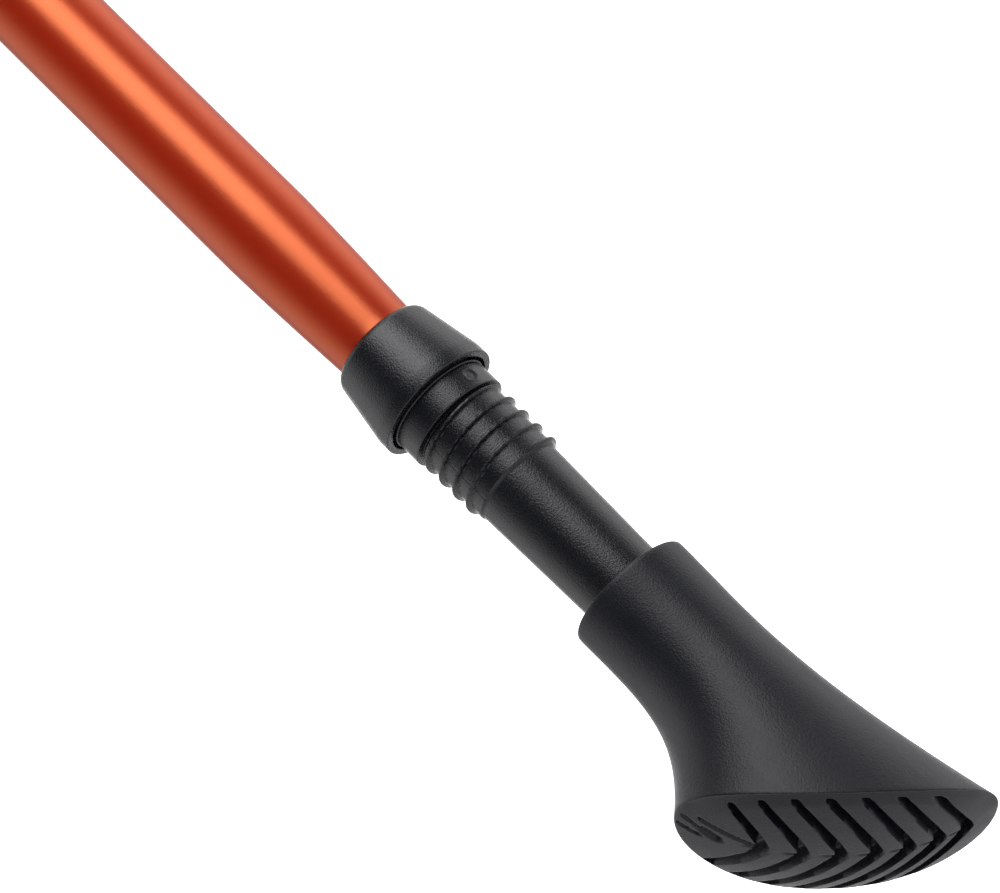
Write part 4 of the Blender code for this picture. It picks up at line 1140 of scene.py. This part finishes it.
def make_grip_cap():
    """The grey cap, a flat dome with a shallow groove round it."""
    low, high = reach("grip_cap")
    forward = (low.y + high.y) / 2
    rows = [(low.z, forward, high.x - 0.35, high.y - forward - 0.35)]
    for t in np.linspace(0.05, 1, 22):
        share = math.sqrt(max(1 - t * t, 0.0)) * 0.75 + 0.25 * (1 - t)
        dip = 0.25 * math.exp(-((t - 0.45) / 0.05) ** 2)
        half_x, half_y = high.x * share - dip, (high.y - forward) * share - dip
        rows.append((low.z + (high.z - low.z) * t, forward, max(half_x, 0.8), max(half_y, 1.2)))
    cap = skin("grip_cap_skin", [oval(*row) for row in rows], GREY, closed=False)
    attach(cap, "root", "grey_plastic", "grip_cap")


def make_strap_pin():
    half = reach("strap_pin")[1].x
    profile = [(PIN_R - 0.5, -half), (PIN_R - 0.15, 0.15 - half), (PIN_R, 0.5 - half)]
    profile += [(r, -x) for r, x in reversed(profile)]
    attach(crossbar("strap_pin_skin", profile, STEEL), "root", "steel", "strap_pin")


# Twist lock

def make_lock():
    """The twist lock inside the upper tube, which only shows when the pole is taken apart."""
    low, high = reach("lock_plug")
    seat, shelf = TUBE_R - 0.1, high.z - 3.0
    plug = [
        (seat, high.z, 0.5), (seat, shelf, 0), (seat - 0.8, shelf, 0), (seat - 0.8, low.z, 0.9),
        (PLUG_BORE, low.z, 0), (PLUG_BORE, high.z, 0),
    ]
    turned_piece("lock_plug", "lower_pole", "grey_plastic", GREY, plug, 96)
    low, high = reach("lock_spindle")
    rod = [(0.0, high.z, 0), (high.x, high.z, 0.4)]
    crests = np.arange(high.z - 2.0, low.z + 2.0, -SPINDLE_PITCH / 2)
    rod += [(high.x - SPINDLE_THREAD * (k % 2), z, 0) for k, z in enumerate(crests)]
    rod += [(high.x, low.z, 0.4), (0.0, low.z, 0)]
    turned_piece("lock_spindle", "lower_pole", "steel", STEEL, rod, 64)
    low, high = reach("spindle_stop")
    stop = [(high.x, high.z, 0.4), (high.x, low.z, 0.4), (PLUG_BORE, low.z, 0), (PLUG_BORE, high.z, 0)]
    turned_piece("spindle_stop", "lower_pole", "grey_plastic", GREY, stop, 96)
    low, high = reach("lock_cone")
    cone = [(high.x, high.z, 0.3), (high.x - 1.15, low.z, 0.2), (CONE_BORE, low.z, 0), (CONE_BORE, high.z, 0)]
    turned_piece("lock_cone", "cone", "brass", BRASS, cone, 96)
    low, high = reach("lock_expander")
    base = low.z + 4.0
    shell = [
        (high.x, high.z, 0.6), (high.x, low.z, 0.8), (CONE_BORE, low.z, 0), (CONE_BORE, base, 0),
        (4.2, base, 0), (high.x - 1.05, high.z, 0.1),
    ]
    expander = turned("lock_expander_skin", rounded(shell), GREY, 96)
    for half_x, half_y in ((0.8, 9.0), (9.0, 0.8)):
        combine(expander, block((-half_x, -half_y, base + 2.0), (half_x, half_y, high.z + 2.0)))
    smooth_shade(expander.data, 32)
    attach(expander, "lock_sleeve", "grey_plastic", "lock_expander")


# Strap

def mitt_point(turn, share, outward=0.0):
    """A point on or outside the mitt's inner face: turn round the hand, share from fingers to wrist."""
    t = min(max(share, 0.0), 1.0)
    t = t * t * (3 - 2 * t)
    half_y = MITT_HALF_DEPTH + (WRIST_HALF_DEPTH - MITT_HALF_DEPTH) * t + outward
    half_x = MITT_HALF_WIDTH + (WRIST_HALF_WIDTH - MITT_HALF_WIDTH) * t + outward
    top = MITT_TOP - MITT_SLANT * (0.5 - 0.5 * math.sin(turn))
    z = top + (MITT_BOTTOM - top) * share
    return np.array((half_x * math.cos(turn), MITT_CENTRE_Y + half_y * math.sin(turn), z))


def lay_weave(obj, across, along, periods):
    """A UV map in millimetres, for a weave that follows the cloth; periods are the lengths all round."""
    layer = obj.data.uv_layers.new(name="weave")
    table = np.array((across, along), float).T
    for face in obj.data.polygons:
        places = table[list(face.vertices)]
        for axis, period in enumerate(periods):
            if period and np.ptp(places[:, axis]) > period / 2:
                places[:, axis] += np.where(places[:, axis] < period / 2, period, 0.0)
        for loop, place in zip(face.loop_indices, places):
            layer.data[loop].uv = place
    return obj


def strap_section(width, thick):
    """A flat strap's outline as (across, outward), round at both edges."""
    r = thick / 2
    half = [(u, r) for u in np.linspace(r - width / 2, width / 2 - r, 9)]
    half += [(width / 2 - r + r * math.cos(a), r * math.sin(a)) for a in np.radians((60, 30, 0, -30, -60))]
    return half + [(-u, -v) for u, v in half]


def path_lengths(points):
    """The length from the path's start to each of its points."""
    steps = np.linalg.norm(np.diff(np.array(points, float), axis=0), axis=1)
    return np.concatenate(([0.0], np.cumsum(steps)))


def strap_band(name, middle, rings, section, closed):
    """A flat strap through ready rings, with its weave laid along its middle line."""
    obj = skin(name, rings, WEBBING, closed=closed, sharp=50)
    lengths = path_lengths(list(middle) + [middle[0]])
    across = [u for _ in rings for u, _ in section]
    along = [length for length, _ in zip(lengths, rings) for _ in section]
    return lay_weave(obj, across, along, (None, lengths[-1] if closed else None))


def mitt_band(name, turns, outward, width, thick, end_round=0.0):
    """A strap laid round the mitt's wrist; an end round narrows its last bit to a tongue."""
    section = strap_section(width, thick)
    middle = [mitt_point(turn, CUFF_SHARE, outward) for turn in turns]
    lengths = path_lengths(middle)
    rings = []
    for turn, length in zip(turns, lengths):
        left = min((lengths[-1] - length) / end_round, 1.0) if end_round else 1.0
        narrow = 1 - end_round / (width / 2) * (1 - math.sqrt(1 - (1 - left) ** 2)) if end_round else 1.0
        rings.append([
            mitt_point(turn, CUFF_SHARE + u * narrow / MITT_HEIGHT, outward + v) for u, v in section
        ])
    return strap_band(name, middle, rings, section, not end_round)


def binding(name, edge, into, half_wide, half_thick):
    """Tape folded round a cloth's edge, from a loop of points and the way into the cloth at each."""
    edge, into = np.array(edge), np.array(into)
    count = 16
    lengths = path_lengths(list(edge) + [edge[0]])
    rings = []
    for k, (point, inward) in enumerate(zip(edge, into)):
        tangent = edge[(k + 1) % len(edge)] - edge[k - 1]
        side = np.cross(tangent, inward)
        side /= np.linalg.norm(side)
        middle = point + inward * (half_wide - 0.7)
        ring = []
        for a in circle(count):
            flattened = math.copysign(abs(math.sin(a)) ** 0.6, math.sin(a))
            ring.append(middle + inward * half_wide * math.cos(a) + side * half_thick * flattened)
        rings.append(ring)
    obj = skin(name, rings, WEBBING, sharp=60)
    round_it = 4 * half_wide
    across = [round_it * i / count for _ in rings for i in range(count)]
    along = [length for length in lengths[:-1] for _ in range(count)]
    return lay_weave(obj, across, along, (round_it, lengths[-1]))


def stitch_tree():
    """Sets a small rounded bar at every step along lines."""
    graph, given = geometry_tree("stitches", {
        "Pitch": STITCH_PITCH * MM, "Length": STITCH_LENGTH * MM, "Thick": STITCH_THICK * MM,
    })
    line = graph.node("GeometryNodeMeshToCurve", None, {"Mesh": given["Geometry"]})
    inputs = {"Curve": line, "Length": given["Pitch"]}
    places = graph.node("GeometryNodeResampleCurve", {"mode": "LENGTH"}, inputs)
    bar = graph.node("GeometryNodeMeshUVSphere", None, {"Segments": 6, "Rings": 4, "Radius": 1.0})
    tangent = graph.node("GeometryNodeInputTangent")
    lie = graph.node("FunctionNodeAlignRotationToVector", {"axis": "X"}, {"Vector": tangent})
    size = graph.join(given["Length"] / 2, given["Thick"] / 2, given["Thick"] / 2)
    inputs = {"Points": places, "Instance": bar, "Rotation": lie, "Scale": size}
    return end_tree(graph, graph.node("GeometryNodeInstanceOnPoints", None, inputs), THREAD)


def sew(name, lines):
    """Stitches along lines of points."""
    points = [tuple(p) for line in lines for p in line]
    edges, first = [], 0
    for line in lines:
        edges += [(first + k, first + k + 1) for k in range(len(line) - 1)]
        first += len(line)
    return apply_nodes(new_object(name, new_mesh(name, points, edges, [])), STITCHES)


def crossed_box(low, high):
    """A rectangle and its diagonals, as a strap's end is sewn down: lines of (across, along)."""
    (left, bottom), (right, top) = low, high
    box = [low, (right, bottom), high, (left, top), low]
    return [box, [low, high], [(right, bottom), (left, top)]]


def in_thumb_hole(point):
    """Whether a point of the mitt lies inside the thumb's oval hole, on the side toward the grip."""
    across, up = point[0] / THUMB_HALF_WIDTH, (point[2] - THUMB_Z) / THUMB_HALF_HEIGHT
    return point[1] > MITT_CENTRE_Y and across ** 2 + up ** 2 < 1


def to_thumb_edge(point):
    """Moves a point beside the thumb's hole onto the hole's oval, along the mitt."""
    turn = math.atan2((point[2] - THUMB_Z) / THUMB_HALF_HEIGHT, point[0] / THUMB_HALF_WIDTH)
    x, z = THUMB_HALF_WIDTH * math.cos(turn), THUMB_Z + THUMB_HALF_HEIGHT * math.sin(turn)
    round_hand = math.pi / 2
    for _ in range(6):
        top = mitt_point(round_hand, 0.0)[2]
        share = (top - z) / (top - MITT_BOTTOM)
        half_x = mitt_point(0.0, share, MITT_THICK / 2)[0]
        round_hand = math.acos(x / half_x)
    return mitt_point(round_hand, share, MITT_THICK / 2)


def mitt_cloth():
    """The mitt's middle surface with the thumb's hole in its front, and the loops of points at its edges."""
    count, rows = 120, 46
    turns, middle = circle(count), MITT_THICK / 2
    points = np.array([mitt_point(a, s, middle) for s in np.linspace(0, 1, rows) for a in turns])
    all_faces = ring_faces(rows, count, False)
    faces = [face for face in all_faces if not in_thumb_hole(points[list(face)].mean(axis=0))]
    kept = {v for face in faces for v in face}
    dropped = {v for face in all_faces if face not in set(faces) for v in face}
    hole = sorted(kept & dropped, key=lambda v: math.atan2(points[v][2] - THUMB_Z, points[v][0]))
    for v in hole:
        points[v] = to_thumb_edge(points[v])
    order = {v: k for k, v in enumerate(sorted(kept))}
    used = points[sorted(kept)]
    mesh = new_mesh("mitt_cloth", used, [], [tuple(order[v] for v in face) for face in faces])
    mesh.materials.append(MITT)
    mesh.shade_smooth()
    obj = new_object("mitt_cloth", mesh)
    period = path_lengths([mitt_point(a, 0.5) for a in turns + [TAU]])[-1]
    along = [period * (v % count) / count for v in sorted(kept)]
    lay_weave(obj, used[:, 2] - MITT_BOTTOM, along, (None, period))
    loops = {
        "top": [order[v] for v in range(count)], "below_top": [order[v] for v in range(count, 2 * count)],
        "bottom": [order[v] for v in range((rows - 1) * count, rows * count)],
        "hole": [order[v] for v in hole],
        "seams": [[order[k * count + i] for k in range(2, 30)] for i in (14, 46)],
    }
    return obj, loops


def settle(obj, held):
    """Lets slack cloth, held at some points, sink into creases for a moment, and no deeper than CREASE."""
    start = np.array([v.co for v in obj.data.vertices])
    obj.vertex_groups.new(name="held").add(held, 1.0, "REPLACE")
    cloth = obj.modifiers.new("cloth", "CLOTH").settings
    cloth.vertex_group_mass = "held"
    cloth.quality = 6
    cloth.mass = 0.05
    cloth.bending_stiffness = 0.4
    cloth.shrink_min = cloth.shrink_max = -0.035
    cloth.effector_weights.gravity = 0.4
    scene = bpy.context.scene
    for frame_number in range(1, SETTLE_FRAMES + 1):
        scene.frame_set(frame_number)
    graph = bpy.context.evaluated_depsgraph_get()
    end = np.array([v.co for v in obj.evaluated_get(graph).data.vertices])
    scene.frame_set(1)
    obj.modifiers.clear()
    moved = end - start
    length = np.linalg.norm(moved, axis=1)
    moved *= np.minimum(1.0, CREASE * MM / np.maximum(length, 1e-9))[:, None]
    obj.data.vertices.foreach_set("co", (start + moved).ravel())
    obj.data.update()


def make_strap_mitt():
    """The open mitt of spacer mesh: simulated cloth, then its thickness, bound edges and seams."""
    obj, loops = mitt_cloth()
    at = [v.co / MM for v in obj.data.vertices]
    seat = WEBBING_WIDTH / 2 + HELD_MARGIN
    held = {k for k, p in enumerate(at)
            if p.z < HELD_BELOW or (p.y > HELD_BEFORE and abs(p.x) < seat and p.z > WEBBING_END - 3)}
    settle(obj, sorted(held | set(loops["hole"])))
    at = np.array([v.co for v in obj.data.vertices]) / MM
    normals = np.array([v.normal for v in obj.data.vertices])
    top, bottom, hole = (at[loops[edge]] for edge in ("top", "bottom", "hole"))
    into, away = at[loops["below_top"]] - top, hole - hole.mean(axis=0)
    for ways in (into, away):
        ways /= np.linalg.norm(ways, axis=1)[:, None]
    trims = [
        binding("mitt_top_tape", top, into, 2.6, TAPE_HALF_THICK),
        binding("mitt_bottom_tape", bottom, np.tile((0.0, 0.0, 1.0), (len(bottom), 1)), 0.8, 1.45),
        binding("mitt_thumb_tape", hole, away, 2.3, TAPE_HALF_THICK),
    ]
    lifted = at + normals * (MITT_THICK / 2 + 0.1)
    lift = TAPE_HALF_THICK - 0.03
    trims.append(sew("mitt_stitches", [lifted[seam] for seam in loops["seams"]] + [
        [p + d * 3.6 + n * lift for p, d, n in zip(top, into, normals[loops["top"]])],
        [p + d * 3.0 + n * lift for p, d, n in zip(hole, away, normals[loops["hole"]])],
    ]))
    wall = obj.modifiers.new("wall", "SOLIDIFY")
    wall.thickness = (MITT_THICK - 0.2) * MM
    wall.offset = 0.0
    even = obj.modifiers.new("even", "SUBSURF")
    even.levels = even.render_levels = 1
    bake(obj)
    obj.name = "strap_mitt_cloth"
    attach(obj, "strap", "mitt_fabric", "strap_mitt")
    for piece in trims:
        attach(piece, "strap", "webbing")


def make_wrist_cuff():
    """The webbing round the mitt's wrist, sewn along both its edges."""
    turns = circle(140)
    cuff = mitt_band("wrist_cuff_band", turns, CUFF_OUTWARD, CUFF_HEIGHT, CUFF_THICK)
    attach(cuff, "strap", "webbing", "wrist_cuff")
    lift = CUFF_OUTWARD + CUFF_THICK / 2 + STRAP_PLAY
    lines = []
    for side in (-1, 1):
        level = CUFF_SHARE + side * (CUFF_HEIGHT / 2 - 2.2) / MITT_HEIGHT
        lines.append([mitt_point(a, level, lift) for a in turns + [TAU]])
    stitches = attach(sew("cuff_stitches", lines), "strap", "webbing")


def make_closure_tab():
    """The cuff's tab, sewn down at its seam and tapered to a round tongue."""
    turns = np.radians(np.linspace(TAB_SEAM, TAB_END, 70))
    tab = mitt_band("closure_tab_band", turns, TAB_OUTWARD, TAB_HEIGHT, TAB_THICK, end_round=8.0)
    attach(tab, "tab", "webbing", "closure_tab")
    high = TAB_HEIGHT / 2 - 2.5
    lift = TAB_OUTWARD + TAB_THICK / 2 + STRAP_PLAY
    lines = []
    for outline in crossed_box((-high, TAB_SEAM + TAB_BOX[0]), (high, TAB_SEAM + TAB_BOX[1])):
        for (u, a), (v, b) in zip(outline, outline[1:]):
            steps = [(math.radians(a + (b - a) * t), u + (v - u) * t) for t in np.linspace(0, 1, 12)]
            lines.append([mitt_point(turn, CUFF_SHARE + w / MITT_HEIGHT, lift) for turn, w in steps])
    stitches = attach(sew("tab_stitches", lines), "tab", "webbing")


def make_strap_webbing():
    """The webbing folded round the pin, its two ends lying together and sewn through."""
    radius = LOOP_R - WEBBING_THICK / 2 - STRAP_PLAY
    front = PIN_Y - radius + WEBBING_THICK + 2 * STRAP_PLAY
    arc = np.radians(np.linspace(174, -50, 34))
    path = [(PIN_Y - radius, z) for z in np.linspace(WEBBING_END, PIN_Z, 34)]
    path += [(PIN_Y + radius * math.cos(a), PIN_Z + radius * math.sin(a)) for a in arc]
    y, z = path[-1]
    turn_in = [(y, z), (y - 2.3, z - 1.9), (front, PIN_Z - 5.5), (front, PIN_Z - 8.0)]
    path += [tuple(bezier(turn_in, t)) for t in np.linspace(0, 1, 12)[1:]]
    path += [(front, z) for z in np.linspace(PIN_Z - 8.0, WEBBING_END, 30)[1:]]
    section = strap_section(WEBBING_WIDTH, WEBBING_THICK)
    rings = []
    for k, (y, z) in enumerate(path):
        ahead, behind = path[min(k + 1, len(path) - 1)], path[max(k - 1, 0)]
        dy, dz = ahead[0] - behind[0], ahead[1] - behind[1]
        size = math.hypot(dy, dz)
        rings.append([(u, y - v * dz / size, z + v * dy / size) for u, v in section])
    middle = [(0.0, y, z) for y, z in path]
    band = strap_band("strap_webbing_band", middle, rings, section, False)
    attach(band, "strap", "webbing", "strap_webbing")
    face = front + WEBBING_THICK / 2 + STRAP_PLAY
    lines = crossed_box((-6.0, 14.0), (6.0, 25.0)) + [[(-6.5, z), (6.5, z)] for z in (46.0, 44.0)]
    lines = [[(x, face, z) for x, z in line] for line in lines]
    stitches = attach(sew("webbing_stitches", lines), "strap", "webbing")


# Studio

def pole_axes():
    """The pole's way down, across the picture and toward the viewer, in the camera's directions."""
    cos_tilt, sin_tilt = math.cos(POLE_TILT), math.sin(POLE_TILT)
    down = Vector((cos_tilt * POLE_IN_PICTURE[0], -cos_tilt * POLE_IN_PICTURE[1], sin_tilt))
    across = Vector((POLE_IN_PICTURE[1], POLE_IN_PICTURE[0], 0.0))
    return down, across, down.cross(across)


def camera_axes():
    """The photograph's camera axes, right, up and toward the viewer, as columns in the pole's frame."""
    down, across, facing = POLE_AXES
    toe = math.cos(FOOT_TURN) * across - math.sin(FOOT_TURN) * facing
    side = math.sin(FOOT_TURN) * across + math.cos(FOOT_TURN) * facing
    return Matrix((-side, -toe, -down))


def make_camera():
    distance = FOCAL_PX / PX_PER_MM
    right, up = JUNCTION_PX[0] - PHOTO_WIDTH / 2, PHOTO_HEIGHT / 2 - JUNCTION_PX[1]
    shown = Vector((right, up, 0)) / PX_PER_MM
    place = Vector((0, 0, JUNCTION)) + VIEW @ (Vector((0, 0, distance)) - shown)
    data = bpy.data.cameras.new("photo_camera")
    data.sensor_width = SENSOR
    data.lens = FOCAL_PX * SENSOR / PHOTO_WIDTH
    data.clip_start = 0.01
    camera = new_object("photo_camera", data)
    camera.matrix_world = Matrix.Translation(place * MM) @ VIEW.to_4x4()
    bpy.context.scene.camera = camera


def make_world():
    """White for the camera. For the pole it is light at both sides and straight behind, and dark in front."""
    world = bpy.data.worlds.new("studio")
    world.use_nodes = True
    bpy.context.scene.world = world
    graph = Graph(world.node_tree)
    ray = graph.node("ShaderNodeTexCoord", output="Generated")
    toward, aside = (graph.along(ray, VIEW @ axis) for axis in (POLE_AXES[2], POLE_AXES[1]))
    turn = graph.turn(toward, aside) / math.radians(1)
    lower_left = 1.08 * graph.step(turn, -46, -105)
    upper_right = 1.6 * graph.step(turn, 62, 110)
    behind = graph.step(abs(turn), 122, 140)
    opposite = 1.5 * graph.step(abs(turn), 154, 166)
    glow = (0.07 + lower_left + upper_right) * (1 - 0.55 * behind) + opposite
    camera_ray = graph.node("ShaderNodeLightPath", output="Is Camera Ray")
    shade = world.node_tree.nodes["Background"]
    shade.inputs["Color"].default_value = (1.0, 1.0, 1.0, 1.0)
    feed(world.node_tree, shade.inputs["Strength"], graph.most(camera_ray, glow))


def softbox(name, aim, turn, rise, size, glow, roll):
    """A rectangular lamp facing a height on the pole, its length in line with the pole but for its roll.

    Seen from the pole's axis it is turned that many degrees from the side the camera faces toward the
    picture's upper right, and raised that many degrees toward the hand.
    """
    turn, rise = math.radians(turn), math.radians(rise)
    pole, across, facing = POLE_AXES
    back = math.cos(rise) * (math.sin(turn) * across + math.cos(turn) * facing) - math.sin(rise) * pole
    sideways = pole.cross(back).normalized()
    data = bpy.data.lights.new(name, "AREA")
    data.shape = "RECTANGLE"
    data.size, data.size_y = (side * MM for side in size)
    data.energy = glow * math.pi * data.size * data.size_y
    lamp = new_object(name, data)
    place = Vector((0.0, 0.0, aim)) + VIEW @ back * LAMP_DISTANCE
    axes = VIEW @ Matrix((sideways, back.cross(sideways), back)).transposed()
    axes = axes @ Matrix.Rotation(math.radians(roll), 3, "Z")
    lamp.matrix_world = Matrix.Translation(place * MM) @ axes.to_4x4()
    lamp.visible_camera = False


def make_floor():
    """A pale floor just below the fully extended pole, which doesn't show from below."""
    bpy.ops.mesh.primitive_plane_add(size=30.0, location=(0.0, 0.0, FLOOR_Z * MM))
    floor = bpy.context.object
    floor.name = "floor"
    paint = Paint("floor", 0.9)
    paint.set("Base Color", (0.92, 0.92, 0.92, 1.0))
    from_below = paint.node("ShaderNodeNewGeometry", output="Backfacing")
    clear = paint.node("ShaderNodeBsdfTransparent")
    solid = Flow(paint.tree, paint.shader.outputs[0])
    shown = paint.node("ShaderNodeMixShader", None, {0: from_below, 1: solid, 2: clear})
    feed(paint.tree, paint.tree.nodes["Material Output"].inputs["Surface"], shown)
    floor.data.materials.append(paint.material)


POLE_AXES = pole_axes()
VIEW = camera_axes()
ORANGE = anodised()
BLACK = moulding()
RUBBER = rubber()
GREY = grey_plastic()
STEEL = plain_metal("steel", rgb(200, 200, 204), 0.3)
CARBIDE = plain_metal("carbide", rgb(120, 120, 126), 0.25)
BRASS = plain_metal("brass", rgb(205, 165, 92), 0.3)
CORK = cork()
MITT = mesh_cloth()
WEBBING = woven_tape()
THREAD = thread_yarn()
STITCHES = stitch_tree()

make_camera()
make_world()
make_floor()
softbox("key", JUNCTION - 25, 25, 40, (640, 860), 4.6, roll=-14)
bpy.context.scene.view_settings.view_transform = "Standard"

make_upper_tube()
make_lower_tube()
make_tube_bush()
make_tip_moulding()
make_tip_point()
make_foot()
make_lock()
make_grip_cork()
make_grip_end_ring()
make_grip_head()
make_grip_cap()
make_strap_pin()
make_strap_webbing()
make_strap_mitt()
make_wrist_cuff()
make_closure_tab()
